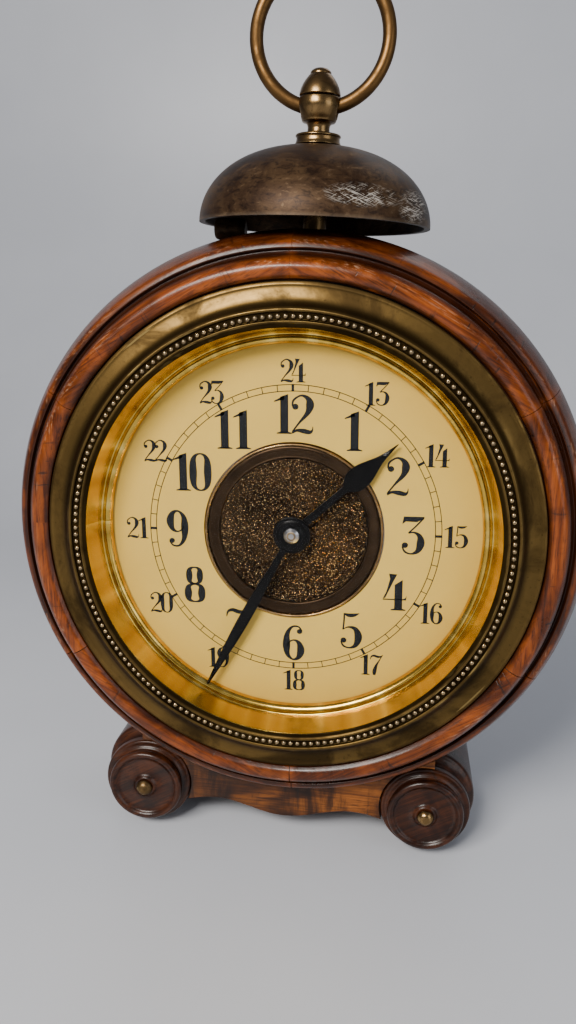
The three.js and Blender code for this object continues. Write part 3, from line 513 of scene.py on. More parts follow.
def bevelled(obj, width, segments=3, angle=40):
    bevel = obj.modifiers.new("bevel", "BEVEL")
    bevel.width = width * MM
    bevel.segments = segments
    bevel.limit_method = "ANGLE"
    bevel.angle_limit = math.radians(angle)
    bake_modifiers(obj)


def bake_modifiers(obj):
    depsgraph = bpy.context.evaluated_depsgraph_get()
    mesh = bpy.data.meshes.new_from_object(obj.evaluated_get(depsgraph))
    obj.modifiers.clear()
    obj.data = mesh
    for polygon in mesh.polygons:
        polygon.use_smooth = True
    mesh.set_sharp_from_angle(angle=SHARP)


def carve(obj, cutters):
    """Cuts closed shapes, each given as points and faces, out of an object."""
    for verts, faces in cutters:
        mesh = bpy.data.meshes.new("cutter")
        mesh.from_pydata([tuple(v) for v in verts], [], faces)
        made = bmesh.new()
        made.from_mesh(mesh)
        bmesh.ops.recalc_face_normals(made, faces=made.faces)
        made.to_mesh(mesh)
        made.free()
        cutter = bpy.data.objects.new("cutter", mesh)
        bpy.context.scene.collection.objects.link(cutter)
        boolean = obj.modifiers.new("cut", "BOOLEAN")
        boolean.operation = "DIFFERENCE"
        boolean.solver = "EXACT"
        boolean.object = cutter
        bake_modifiers(obj)
        bpy.data.objects.remove(cutter)


def block(x0, x1, y0, y1, z0, z1):
    return prism([(x0, z0), (x1, z0), (x1, z1), (x0, z1)], y0, y1)


def cylinder(radius, y0, y1, centre=(0, 0), steps=48, axis="Y"):
    return turned([(0, y0), (radius, y0), (radius, y1), (0, y1)], steps, centre, axis)


# ---- case ---------------------------------------------------------------------------------
STAVE_GAP = 0.0018           # half the turn left open at each glued joint, in radians
OPEN_STAVES = (0, 3, 4, 5)


def front_moulding():
    """Six staves of one moulding: an inner round, a deep groove and a full outer roll."""
    corners = [
        (63.6, -6.1, 0.2), (71.3, -6.1, 0.1), (71.3, -8.2, 0.3), (72.8, -9.5, 1.2),
        (75.5, -9.4, 2.4), (77.4, -6.9, 0.9), (77.7, -4.1, 0.5), (78.9, -3.3, 0.5), (79.4, -4.7, 0.4),
        (81.3, -4.1, 1.4), (83.6, 0.6, 2.4), (85.25, 5.8, 3.4), (84.9, 9.4, 1.6), (83.0, 11.4, 1.2),
        (67.4, 11.5, 0.3), (67.4, 1.4, 0.2), (63.6, 1.4, 0.2),
    ]
    for k in range(6):
        start = TAU * (k - 0.5) / 6 + STAVE_TURN
        gap = STAVE_GAP if k in OPEN_STAVES else STAVE_GAP / 4
        turning(f"front_moulding_stave_{k + 1}", corners, "ring_wood", steps=40, rounds=7,
                span=(start + gap, start + TAU / 6 - gap), slot="case_wood",
                replaces=("case_front_ring",))
    inside = [(64.2, -5.9), (71.5, -5.9), (71.6, -8), (73, -9), (75.2, -8.9), (77.1, -6.4),
              (77.4, -3.6), (79, -2.9), (80.9, -3.5), (83, 0.8), (84.6, 5.8), (84.3, 9.2),
              (82.8, 11), (68, 11), (68, 1.8), (64.2, 1)]
    for k in range(6):
        angle = TAU * (k + 0.5) / 6 + STAVE_TURN
        turning(f"stave_glue_{k + 1}", inside, "joint", steps=2,
                span=(angle - 0.0022, angle + 0.0022), slot="case_wood")


def drum():
    shell = turning("case_drum_shell", [
        (70, 11.85, 0.2), (80, 11.85, 0.5), (80, 54.3, 0.3), (80.4, 54.7, 0.3), (81, 55.5, 0.8),
        (81, 58.2, 1.0), (72, 58.2, 0.6), (72, 56.0, 0.1), (70, 56.0, 0.2),
    ], "drum_wood", steps=192, slot="case_wood", replaces=("case_drum",))
    hammer = local(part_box("hammer_head")[0]).lerp(local(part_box("hammer_head")[1]), 0.5)
    slot = block(hammer.x - 4.5, hammer.x + 4.5, hammer.y - 3.5, hammer.y + 3.5, 55, 90)
    carve(shell, [slot, cylinder(2.8, 60, 90, (0, BELL_Y), axis="Z")])


def swag(x):
    shown = min(abs(x), 33.0)
    return -94.7 - 2.0 * math.cos(math.pi * shown / 22)


def saddle():
    low, high = (local(corner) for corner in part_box("base_saddle"))
    xs = [low.x + (high.x - low.x) * i / 96 for i in range(97)]
    outline = [(x, swag(x)) for x in xs] + [(high.x, -66), (low.x, -66)]
    verts, faces = prism(outline, low.y, high.y)
    body = build("base_saddle_block", verts, faces, "saddle_wood", slot="case_wood",
                 replaces=("base_saddle",))
    rolls = [cylinder(radius, front, rear, (side * ROLL_X, ROLL_Z), 96) for side in (-1, 1)
             for radius, front, rear in ((14.6, -5, 13), (16.5, 11.6, 75))]
    carve(body, [cylinder(85.7, -5, 12.2, steps=240), cylinder(80.35, -5, 75, steps=240), *rolls])
    keep_largest(body)
    bevelled(body, 0.5)


def keep_largest(obj):
    made = bmesh.new()
    made.from_mesh(obj.data)
    made.verts.ensure_lookup_table()
    seen, islands = set(), []
    for vert in made.verts:
        if vert.index in seen:
            continue
        island, queue = [], [vert]
        seen.add(vert.index)
        while queue:
            current = queue.pop()
            island.append(current)
            for edge in current.link_edges:
                other = edge.other_vert(current)
                if other.index not in seen:
                    seen.add(other.index)
                    queue.append(other)
        islands.append(island)
    islands.sort(key=len, reverse=True)
    spare = [vert for island in islands[1:] for vert in island]
    bmesh.ops.delete(made, geom=spare, context="VERTS")
    made.to_mesh(obj.data)
    made.free()


ROSETTE_LOW, ROSETTE_HIGH = (local(corner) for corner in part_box("right_foot_rosette"))
ROLL_X = (ROSETTE_LOW.x + ROSETTE_HIGH.x) / 2
ROLL_Z = (ROSETTE_LOW.z + ROSETTE_HIGH.z) / 2


def foot(word, side):
    centre = (side * ROLL_X, ROLL_Z)
    roll = turning(f"{word}_scroll_roll", [
        (0, 3.6), (11.6, 3.6, 0.5), (12.4, 4.4, 0.6), (14.1, 4.2, 1.2), (14.1, 7.6, 1.6),
        (12.9, 8.6, 0.7), (12.9, 10.6, 0.9), (14.4, 12.1, 0.6), (16, 13, 1.2),
        (16, 52.6, 1.4), (14.6, 53.9, 0.8), (0, 53.9),
    ], "foot_wood", steps=96, centre=centre, slot="foot_wood", replaces=(f"{word}_foot_roll",))
    for vert in roll.data.vertices:
        vert.co.z = max(vert.co.z, 0.0)
    turning(f"{word}_scroll_rosette", [
        (2.2, 0.1, 0.1), (3.1, 0.0, 0.3), (3.9, 0.9, 0.4), (5.4, 1.25, 1.0), (9.3, 1.25, 1.2),
        (10.2, 0.15, 0.7), (11.2, 0.0, 0.7), (12, 0.8, 0.9), (11.9, 2.4, 0.6), (11.0, 3.3, 0.4),
        (2.2, 3.3, 0.1),
    ], "foot_wood", steps=96, centre=centre, slot="foot_wood", replaces=(f"{word}_foot_rosette",))
    turning(f"{word}_foot_boss", [
        (0, -2.1), (1.4, -2.1, 1.3), (2.6, -0.9, 1.1), (2.6, -0.3, 0.2), (1.8, -0.3, 0.1),
        (1.8, 3.2, 0.1), (0, 3.2),
    ], "finial_brass", steps=48, centre=centre, slot="finial_brass",
        replaces=(f"{word}_foot_button",))


# ---- bezel, glass, surround ---------------------------------------------------------------
BEAD_COUNT = 190
BEAD_RADIUS = 0.8
BEAD_ROW = (61.8, -11.35)     # radius and depth of the bead centres


def bezel():
    turning("bezel_ring", [
        (58.8, -11.6, 0.1), (59.8, -11.7, 0.2), (60.1, -12.0, 0.15), (60.6, -12.1, 0.2),
        (60.8, -11.5, 0.2), (60.9, -11.3, 0.2), (62.8, -11.3, 0.2), (63.0, -11.9, 0.25), (63.6, -12.1, 0.3),
        (64.3, -11.5, 0.4), (65.8, -9.8, 1.6), (69.4, -9.0, 0.8), (70.0, -9.1, 0.3),
        (70.9, -8.7, 0.4), (70.9, -6.4, 0.3), (61.5, -6.4, 0.1), (61.5, -11.15, 0.1),
        (58.8, -11.15, 0.05),
    ], "bezel_brass", steps=288, slot="bezel_brass", replaces=("bezel",))
    bead = bmesh.new()
    bmesh.ops.create_icosphere(bead, subdivisions=2, radius=BEAD_RADIUS)
    points = [v.co.copy() for v in bead.verts]
    triangles = [tuple(v.index for v in f.verts) for f in bead.faces]
    bead.free()
    parts = []
    for k in range(BEAD_COUNT):
        angle = TAU * k / BEAD_COUNT
        cx, cz = BEAD_ROW[0] * math.cos(angle), BEAD_ROW[0] * math.sin(angle)
        parts.append(([place(cx + p.x, BEAD_ROW[1] + p.y, cz + p.z) for p in points], triangles))
    build("bezel_beads", *gather(parts), "bead_brass", slot="bezel_brass")


def front_glass():
    turning("front_glass", [(0, -11.0), (61.2, -11.0, 0.2), (61.2, -9.4, 0.2), (0, -9.4)], "glass",
            steps=160, slot="glass", replaces=("dial_glass",))


def surround():
    turning("dial_surround_ring", [
        (54.3, -0.4, 0.05), (54.35, -1.7, 0.9), (55.7, -2.9, 1.1), (57.05, -2.1, 0.55),
        (57.6, -3.0, 0.5), (59.8, -8.5, 1.0), (60.0, -9.0, 0.2), (60.8, -9.0, 0.2), (57.2, -0.4, 0.3),
    ], "surround", steps=288, slot="surround_brass", replaces=("dial_surround",))


# ---- dial ---------------------------------------------------------------------------------
DIAL_TURN = math.radians(2.4)       # the printed card sits a little anticlockwise
TRACK = (41.1, 42.9)
INK = 0.035                         # thickness of the printing
HOUR_RING = 34.6
HOUR_HEIGHT = 11.3
BROADEN = 1.07                      # how much wider than drawn the figures are
OUTER_RING = 46.8
OUTER_HEIGHT = 6.6


def dial_point(radius, minutes):
    """A place on the printed dial: x and z at a radius, so many minutes past twelve."""
    angle = TAU * minutes / 60 - DIAL_TURN
    return radius * math.sin(angle), radius * math.cos(angle)


def annulus(inner, outer, y0, y1, steps=240):
    return turned([(inner, y0), (outer, y0), (outer, y1), (inner, y1)], steps)


def tick(minutes, inner, outer, width):
    angle = TAU * minutes / 60 - DIAL_TURN
    out, side = Vector((math.sin(angle), math.cos(angle))), Vector((math.cos(angle), -math.sin(angle)))
    corners = [out * r + side * s * width / 2 for r, s in ((inner, -1), (outer, -1), (outer, 1), (inner, 1))]
    return prism([tuple(c) for c in corners], -INK, 0)


def smooth_path(points, closed=False, steps=8):
    """Catmull-Rom through (x, z, width) points."""
    count = len(points)
    path = []
    for i in range(count if closed else count - 1):
        if closed:
            p = [points[(i + k) % count] for k in (-1, 0, 1, 2)]
        else:
            p = [points[max(0, min(count - 1, i + k))] for k in (-1, 0, 1, 2)]
        for s in range(steps):
            t = s / steps
            path.append(tuple(0.5 * (2 * b + (c - a) * t + (2 * a - 5 * b + 4 * c - d) * t * t
                                     + (3 * b - a - 3 * c + d) * t ** 3)
                              for a, b, c, d in zip(*p)))
    if not closed:
        path.append(tuple(points[-1]))
    return path


def stroke(points, closed=False):
    """A pen stroke of changing width, as the quads of a flat ribbon."""
    path = smooth_path(points, closed)
    count = len(path)
    left, right = [], []
    for i, (x, z, width) in enumerate(path):
        before = path[i - 1] if (closed or i) else path[i]
        after = path[(i + 1) % count] if (closed or i < count - 1) else path[i]
        dx, dz = after[0] - before[0], after[1] - before[1]
        size = math.hypot(dx, dz) or 1
        nx, nz = -dz / size * width / 2, dx / size * width / 2
        left.append((x + nx, z + nz))
        right.append((x - nx, z - nz))
    return ("ribbon", left, right, closed)


def dot(x, z, radius):
    angles = [TAU * k / 16 for k in range(16)]
    return ("shape", [(x + radius * math.cos(a), z + radius * math.sin(a)) for a in angles])


def shape(*points):
    return ("shape", list(points))


def oval(cx, cz, rx, rz, thick, thin):
    """A closed round stroke, thick at the sides and thin at top and bottom."""
    ring = []
    for k in range(16):
        angle = TAU * k / 16
        width = thin + (thick - thin) * abs(math.cos(angle)) ** 1.6
        ring.append((cx + (rx - width / 2 * abs(math.cos(angle))) * math.cos(angle),
                     cz + (rz - thin / 2) * math.sin(angle), width))
    return stroke(ring, closed=True)


def digit(figure, bold):
    """One upright figure of height 1, standing on z = 0 and centred on x = 0."""
    fat, mid, hair = bold, bold * 0.62, 0.04
    foot = shape((-0.16, 0), (0.2, 0), (0.2, 0.026), (0.11, 0.055), (-0.07, 0.055), (-0.16, 0.026))
    if figure == "0":
        return [oval(0, 0.5, 0.275, 0.5, fat, hair)]
    if figure == "1":
        stem = shape((0.02 - fat / 2, 0.03), (0.02 + fat / 2, 0.03), (0.02 + fat / 2, 1.0),
                     (0.02 - fat / 2, 0.93))
        flag = shape((-0.22, 0.80), (-0.21, 0.835), (0.02, 0.96), (0.02, 0.86), (-0.06, 0.845))
        return [stem, flag, foot]
    if figure == "2":
        return [stroke([(-0.235, 0.70, hair), (-0.205, 0.85, 0.05), (-0.03, 0.965, 0.05),
                        (0.13, 0.89, mid), (0.18, 0.73, fat), (0.12, 0.53, mid),
                        (-0.07, 0.29, 0.05), (-0.235, 0.06, hair)]),
                dot(-0.165, 0.685, 0.075),
                stroke([(-0.245, 0.025, 0.05), (-0.13, 0.09, 0.07), (0.03, 0.075, 0.12),
                        (0.17, 0.05, 0.1), (0.235, 0.10, 0.04), (0.245, 0.19, 0.015)])]
    if figure == "3":
        return [shape((-0.25, 0.81), (-0.215, 1.0), (0.27, 1.0), (0.26, 0.965), (0.10, 0.86),
                      (-0.17, 0.87), (-0.235, 0.81)),
                stroke([(0.255, 0.975, 0.04), (0.08, 0.76, hair), (-0.09, 0.575, hair)]),
                stroke([(-0.10, 0.565, 0.03), (0.04, 0.585, 0.05), (0.165, 0.49, mid),
                        (0.195, 0.30, fat), (0.13, 0.10, mid), (-0.02, 0.02, 0.045),
                        (-0.17, 0.07, 0.05), (-0.24, 0.21, 0.035)]),
                dot(-0.175, 0.245, 0.075)]
    if figure == "4":
        return [shape((-0.15, 1.0), (0.05, 0.985), (-0.035, 0.80), (-0.225, 0.345), (-0.285, 0.315),
                      (-0.20, 0.52), (-0.12, 0.86)),
                shape((-0.285, 0.315), (-0.285, 0.285), (0.275, 0.285), (0.29, 0.41), (0.255, 0.345),
                      (0.2, 0.318)),
                shape((0.09 - fat / 2, 0.04), (0.09 + fat / 2, 0.04), (0.09 + fat / 2, 0.84),
                      (0.09 - fat / 2, 0.70)),
                shape((-0.09, 0), (0.27, 0), (0.27, 0.026), (0.18, 0.055), (0.0, 0.055),
                      (-0.09, 0.026))]
    if figure == "5":
        return [stroke([(-0.165, 0.99, hair), (-0.175, 0.75, hair), (-0.195, 0.53, hair)]),
                stroke([(-0.17, 0.98, 0.03), (-0.06, 0.935, 0.10), (0.08, 0.945, 0.09),
                        (0.20, 0.995, 0.015)]),
                stroke([(-0.195, 0.535, 0.02), (-0.06, 0.605, 0.045), (0.11, 0.55, mid),
                        (0.185, 0.33, fat), (0.12, 0.10, mid), (-0.03, 0.02, 0.045),
                        (-0.18, 0.07, 0.05), (-0.245, 0.20, 0.035)]),
                dot(-0.18, 0.23, 0.075)]
    if figure == "6":
        return [stroke([(0.215, 0.83, hair), (0.13, 0.955, 0.045), (-0.03, 0.95, 0.06),
                        (-0.15, 0.76, mid), (-0.175, 0.45, fat), (-0.15, 0.17, mid),
                        (-0.02, 0.022, 0.05), (0.12, 0.08, mid), (0.185, 0.28, fat),
                        (0.14, 0.49, mid), (0.02, 0.575, 0.045), (-0.10, 0.52, hair),
                        (-0.165, 0.40, 0.02)]),
                dot(0.155, 0.825, 0.07)]
    if figure == "7":
        return [stroke([(-0.255, 0.76, 0.02), (-0.215, 0.90, 0.06), (-0.10, 0.95, 0.10),
                        (0.06, 0.90, 0.11), (0.19, 0.92, 0.06), (0.265, 1.0, 0.015)]),
                stroke([(0.26, 0.985, 0.03), (0.13, 0.74, 0.045), (0.0, 0.47, mid),
                        (-0.07, 0.20, fat), (-0.08, 0.0, fat * 0.6)])]
    if figure == "8":
        return [oval(0, 0.755, 0.215, 0.245, fat * 0.86, hair), oval(0, 0.265, 0.265, 0.265, fat, hair)]
    return [tuple([part[0]] + [[(-x, 1 - z) for x, z in pts] for pts in part[1:-1]] + [part[-1]])
            if part[0] == "ribbon" else ("shape", [(-x, 1 - z) for x, z in part[1]])
            for part in digit("6", bold)]


def numeral(text, cx, cz, height, bold, spread, lean=0.0, y1=0.0, thickness=INK, flip=1):
    """Thin raised figures centred on a point, turned with the dial."""
    parts = []
    cos, sin = math.cos(lean), math.sin(lean)

    def settle_point(x, z, shift):
        u, v = (x * BROADEN + shift) * height, (z - 0.5) * height
        return cx + flip * (u * cos - v * sin), cz + u * sin + v * cos

    for i, figure in enumerate(text):
        shift = (i - (len(text) - 1) / 2) * spread
        for part in digit(figure, bold):
            if part[0] == "shape":
                parts.append(prism([settle_point(x, z, shift) for x, z in part[1]],
                                   y1 - thickness, y1))
                continue
            left = [settle_point(x, z, shift) for x, z in part[1]]
            right = [settle_point(x, z, shift) for x, z in part[2]]
            parts.append(ribbon_solid(left, right, part[3], y1 - thickness, y1))
    return parts


def ribbon_solid(left, right, closed, y0, y1):
    count = len(left)
    verts = []
    for (lx, lz), (rx, rz) in zip(left, right):
        verts += [place(lx, y0, lz), place(rx, y0, rz), place(rx, y1, rz), place(lx, y1, lz)]
    faces = []
    for i in range(count if closed else count - 1):
        a, b = 4 * i, 4 * ((i + 1) % count)
        for k in range(4):
            n = (k + 1) % 4
            faces.append((a + k, b + k, b + n, a + n))
    if not closed:
        faces += [(0, 1, 2, 3), (4 * count - 4, 4 * count - 3, 4 * count - 2, 4 * count - 1)]
    return verts, faces


def dial():
    turning("dial_card", [(26.6, 0.0, 0.1), (62, 0.0, 0.1), (62, 1.2, 0.1), (26.6, 1.2, 0.1)],
            "paper", steps=240, slot="dial_paper", replaces=("dial_ring",))
    line = 0.23
    track = [annulus(TRACK[0] - line / 2, TRACK[0] + line / 2, -INK, 0),
             annulus(TRACK[1] - line / 2, TRACK[1] + line / 2, -INK, 0)]
    for minute in range(60):
        heavy = minute % 5 == 0
        width = 0.75 if heavy else line
        track.append(tick(minute, TRACK[0] - (0.15 if heavy else 0), TRACK[1] + (0.15 if heavy else 0),
                          width))
    build("dial_minute_track", *gather(track), "ink", slot="hand_blue", smooth=False)
    inner, outer = [], []
    for hour in range(1, 13):
        x, z = dial_point(HOUR_RING, hour * 5)
        inner += numeral(str(hour), x, z, HOUR_HEIGHT, 0.19, 0.48, DIAL_TURN)
        x, z = dial_point(OUTER_RING, hour * 5)
        outer += numeral(str(hour + 12), x, z, OUTER_HEIGHT, 0.172, 0.50, DIAL_TURN)
    build("dial_hour_numerals", *gather(inner), "ink", slot="hand_blue", smooth=False)
    build("dial_afternoon_numerals", *gather(outer), "ink", slot="hand_blue", smooth=False)


def centre_disc():
    turning("centre_disc_field", [(3.6, 0.5, 0.1), (21.7, 0.5, 0.1), (21.7, 1.2, 0.1), (3.6, 1.2, 0.1)],
            "bronze", steps=128, slot="dial_bronze", replaces=("dial_centre_disc",))
    turning("centre_disc_border", [(21.75, 0.45, 0.2), (22.1, 0.0, 0.3), (22.6, 0.15, 0.3),
                                   (24.8, -0.2, 0.6), (25.4, 0.0, 0.2), (25.4, 1.2, 0.1),
                                   (21.75, 1.2, 0.1)],
            "dark_bronze", steps=160, slot="dial_bronze", replaces=("dial_centre_disc",))
    turning("centre_disc_rim", [(25.45, -0.1, 0.1), (25.6, -0.6, 0.2), (26.1, -0.7, 0.3),
                                (26.3, -0.1, 0.3), (26.3, 1.2, 0.1), (25.45, 1.2, 0.1)],
            "rim_brass", steps=160, slot="dial_bronze", replaces=("dial_centre_disc",))


# ---- hands --------------------------------------------------------------------------------
MINUTE_HAND_TURN = math.radians(206.2)
HOUR_HAND_TURN = math.radians(45.8)
HAND_RIDGE = 0.3                    # how far a hand's middle stands out from its edges


def hand(name, half_widths, hub, bore, y0, y1, turn, body, node):
    """A hand from (distance, half width) pairs, with a low ridge along its middle."""
    path = smooth_path([(along, half, 0) for along, half in half_widths], steps=6)
    cos, sin = math.cos(turn), math.sin(turn)
    verts, faces = [], []
    for along, half, _ in path:
        edge = y0 + HAND_RIDGE
        for across, y in ((-half, edge), (0, y0), (half, edge), (half, y1), (-half, y1)):
            verts.append(place(across * cos + along * sin, y, -across * sin + along * cos))
    for i in range(len(path) - 1):
        for k in range(5):
            n = (k + 1) % 5
            faces.append((5 * i + k, 5 * i + n, 5 * i + 5 + n, 5 * i + 5 + k))
    faces += [tuple(range(5)), tuple(range(5 * len(path) - 5, 5 * len(path)))]
    disc = turned(soften([(bore, y0, 0.1), (hub, y0, 0.25), (hub, y1, 0.1), (bore, y1, 0.1)], 3), 64)
    build(name, *gather([(verts, faces), disc]), "blued", body=body, slot="hand_blue",
          replaces=(node,))


def hands():
    hand("hour_hand_blade", [
        (4.6, 1.2), (12, 1.05), (18.8, 0.95), (20.4, 1.05), (21.6, 2.1), (23.2, 3.05), (25.4, 3.3),
        (27.6, 3.1), (30.2, 2.25), (33.4, 1.15), (36.4, 0.6), (40.1, 0.1),
    ], 5.0, 3.5, -2.4, -1.6, HOUR_HAND_TURN, "hour_wheel", "hour_hand")
    hand("minute_hand_blade", [
        (4.9, 1.0), (9, 1.0), (14, 1.18), (20, 1.5), (27, 1.72), (34, 1.66), (40, 1.4), (46, 1.0),
        (51, 0.62), (54.5, 0.3),
    ], 5.4, 2.4, -3.9, -3.1, MINUTE_HAND_TURN, "hands_arbor", "minute_hand")
    turning("hand_hub_ring", [(2.5, -4.15, 0.1), (3.7, -4.25, 0.3), (4.5, -4.0, 0.3), (4.5, -3.9, 0.1),
                              (2.5, -3.9, 0.1)], "blued", steps=64, body="hands_arbor", slot="hand_blue")
    turning("hand_pin", [(0, -4.9), (0.6, -4.95, 0.2), (0.8, -5.2, 0.2), (1.4, -5.15, 0.4),
                         (2.0, -4.5, 0.3), (2.1, -4.2, 0.1), (1.2, -4.2, 0.1), (1.2, 0, 0.1), (0, 0)],
            "pin", steps=48, body="hands_arbor", slot="steel")


# ---- bell, finial and ring ----------------------------------------------------------------
def bell():
    radius, height, wall = (BELL_HIGH.x - BELL_LOW.x) / 2 / MM, (BELL_HIGH.z - BELL_LOW.z) / MM, 1.8
    crown = BELL_RIM + height
    steps = 36

    def dome(r, h, base):
        return [(r * math.cos(a) ** 0.86, base + h * math.sin(a))
                for a in (i / steps * math.pi / 2 for i in range(steps))]

    outer = dome(radius, height, BELL_RIM + 0.001)
    lip = [(radius - 0.25, BELL_RIM), (radius - wall + 0.25, BELL_RIM)]
    inner = dome(radius - wall, height - wall, BELL_RIM + 0.2)
    profile = outer + [(2.3, crown), (2.3, crown - wall)] + inner[::-1] + lip[::-1]
    verts, faces = turned(profile, 160, (0, BELL_Y), "Z")
    build("bell_dome", verts, faces, "bell", slot="bell_metal", replaces=("bell",))
    return crown


def on_top(name, corners, look, node, body="case", steps=72, **kw):
    turning(name, corners, look, steps=steps, centre=(0, BELL_Y), axis="Z", body=body,
            slot="finial_brass", replaces=(node,) if node else (), **kw)


def finial(crown):
    on_top("bell_post_rod", [
        (0, BELL_RIM - 20), (1.9, BELL_RIM - 20, 0.2), (1.9, BELL_RIM - 3.2, 0.2),
        (3.4, BELL_RIM - 2.4, 0.4), (3.4, crown - 2.1, 0.3), (1.9, crown - 2.1, 0.1),
        (1.9, crown + 6.1, 0.2), (0, crown + 6.1)], "finial_brass", "bell_post")
    on_top("bell_post_foot", [
        (2.3, 80.35, 0.1), (6.4, 80.35, 0.2), (6.4, 81.2, 0.5), (5.2, 82.2, 0.8), (4.2, 83.8, 0.5),
        (2.3, 83.8, 0.2)], "finial_brass", "bell_post_seat")
    on_top("finial_collar", [
        (2.3, crown + 0.3, 0.1), (6.75, crown + 0.3, 0.2), (6.3, crown + 1.2, 0.4),
        (6.2, crown + 2.3, 0.3), (6.6, crown + 2.6, 0.2), (6.4, crown + 3.1, 0.2),
        (4.2, crown + 3.2, 0.2),
        (2.3, crown + 3.2, 0.1)], "finial_brass", "bell_collar")
    cup_low, cup_high = (local(corner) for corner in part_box("finial_cup"))
    cap_low, cap_high = (local(corner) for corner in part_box("finial_cap"))
    on_top("acorn_cup", [
        (2.3, cup_low.z, 0.1), (3.25, cup_low.z, 0.3), (3.1, crown + 5.2, 0.5),
        (3.6, crown + 6.2, 0.3), (4.8, crown + 6.5, 0.3), (4.95, crown + 7.0, 0.3),
        (5.6, crown + 8.2, 1.4), (6.4, crown + 10.4, 1.6), (6.2, cup_high.z - 0.9, 0.8),
        (6.0, cup_high.z - 0.15, 0.15), (5.7, cup_high.z, 0.1), (0, cup_high.z)],
        "finial_brass", "finial_cup", rounds=6)
    cup = bpy.data.objects["acorn_cup"]
    carve(cup, [ring_hole(), cylinder(2.3, cup_low.z - 2, crown + 6.4, (0, BELL_Y), axis="Z")])
    tip = cap_high.z
    on_top("acorn_cap", [
        (0, cap_low.z), (5.6, cap_low.z, 0.1), (5.95, cap_low.z + 0.25, 0.2),
        (5.6, cap_low.z + 2.0, 1.0), (4.6, cap_low.z + 4.0, 1.2), (3.4, cap_low.z + 5.5, 0.4),
        (3.05, cap_low.z + 5.75, 0.2), (2.95, tip - 1.0, 0.5), (1.9, tip - 0.15, 0.6), (0, tip)],
        "finial_brass", "finial_cap", rounds=6)


def ring_shape():
    low, high = (local(corner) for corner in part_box("carry_ring"))
    wire = (high.y - low.y) / 2
    radius = (high.x - low.x) / 2 - wire
    return radius, wire, high.z - radius - wire


def ring_hole():
    """The flared hole through the acorn that lets the round ring swing over."""
    radius, wire, middle = ring_shape()
    reach, steps = 8.0, 12
    flare = []
    for i in range(2 * steps + 1):
        x = reach * (i - steps) / steps
        flare.append((radius - math.sqrt(radius ** 2 - x ** 2) + wire + 0.28, x))
    profile = [(0, -reach), *flare, (0, reach)]
    verts, faces = turned(profile, 40)
    quarter = Matrix.Rotation(math.pi / 2, 4, "Z")
    centre = place(0, BELL_Y, middle - radius)
    return [centre + quarter @ (v - DIAL_CENTRE) for v in verts], faces


def carrying_ring():
    radius, wire, middle = ring_shape()
    verts, faces = [], []
    around, section = 128, 24
    for i in range(around):
        a = TAU * i / around
        for k in range(section):
            b = TAU * k / section
            r = radius + wire * math.cos(b)
            verts.append(place(r * math.cos(a), BELL_Y + wire * math.sin(b), middle + r * math.sin(a)))
    for i in range(around):
        for k in range(section):
            n, m = (i + 1) % around, (k + 1) % section
            faces.append((i * section + k, i * section + m, n * section + m, n * section + k))
    build("carrying_ring_wire", verts, faces, "ring_brass", body="carry_ring", slot="finial_brass",
          replaces=("carry_ring",))


def hammer():
    low, high = (local(corner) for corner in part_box("hammer_head"))
    middle, half, radius = (low + high) / 2, (high.x - low.x) / 2, (high.z - low.z) / 2
    corners = [(1.2, -half + 0.2), (radius - 0.5, -half, 0.9), (radius, -half + 1.6, 0.8),
               (radius, half - 1.6, 0.8), (radius - 0.5, half, 0.9), (1.2, half - 0.2)]
    verts, faces = turned(soften([(0, -half + 0.1), *corners, (0, half - 0.1)], 5, False), 64)
    quarter = Matrix.Rotation(-math.pi / 2, 4, "Z")
    centre = place(*middle)
    verts = [centre + quarter @ (v - DIAL_CENTRE) for v in verts]
    head = build("hammer_head_barrel", verts, faces, "bell", body="hammer", slot="bell_metal",
                 replaces=("hammer_head",))
    carve(head, [cylinder(1.35, low.z - 2, middle.z + 1.5, (middle.x, middle.y), 24, "Z")])


# ---- back ---------------------------------------------------------------------------------
STOP_ARBOR = (-38, 43)              # x and z of the alarm stop lever's arbor
SCREW_CIRCLE = 66.5                 # radius that the back plate's screws lie on
WING_MIDDLE, WING_HALF = 68.4, 3.8  # depth of a winding key's wing, and half its reach


def spot(node):
    low, high = (local(corner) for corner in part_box(node))
    return (low.x + high.x) / 2, (low.z + high.z) / 2


def back():
    low, high = (local(corner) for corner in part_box("back_cover"))
    cover = turning("back_plate", [(0, low.y), (71.6, low.y, 0.1), (71.6, high.y, 0.5), (0, high.y)],
                    "back_brass", steps=192, slot="back_brass", replaces=("back_cover",))
    holes = [(spot("hand_set_knob"), 2.2), (spot("time_key"), 3.2), (spot("alarm_key"), 3.2),
             (spot("alarm_set_knob"), 2.2), (STOP_ARBOR, 2.2)]
    cutters = [cylinder(r, low.y - 1, high.y + 1, at) for at, r in holes]
    balance = spot("balance_wheel")
    arc = [(radius, math.radians(d)) for radius, degrees in
           ((9.6, range(-27, 28, 6)), (12.6, range(27, -28, -6))) for d in degrees]
    slot = prism([(balance[0] + r * math.sin(a), balance[1] + r * math.cos(a)) for r, a in arc],
                 low.y - 1, high.y + 1)
    carve(cover, [*cutters, slot])
    for k in range(4):
        angle = TAU * (k + 0.5) / 4
        screw((SCREW_CIRCLE * math.cos(angle), SCREW_CIRCLE * math.sin(angle)), high.y, k)


def screw(at, y, index):
    """A slotted round-head screw in the back plate."""
    head = turning(f"back_screw_{index + 1}", [(0, y + 0.02), (2.4, y + 0.02, 0.1), (2.4, y + 0.35, 0.2),
                                               (1.4, y + 0.38, 0.3), (0, y + 0.4)],
                   "steel", steps=40, centre=at, slot="steel")
    carve(head, [block(at[0] - 3, at[0] + 3, y + 0.2, y + 2, at[1] - 0.3, at[1] + 0.3)])


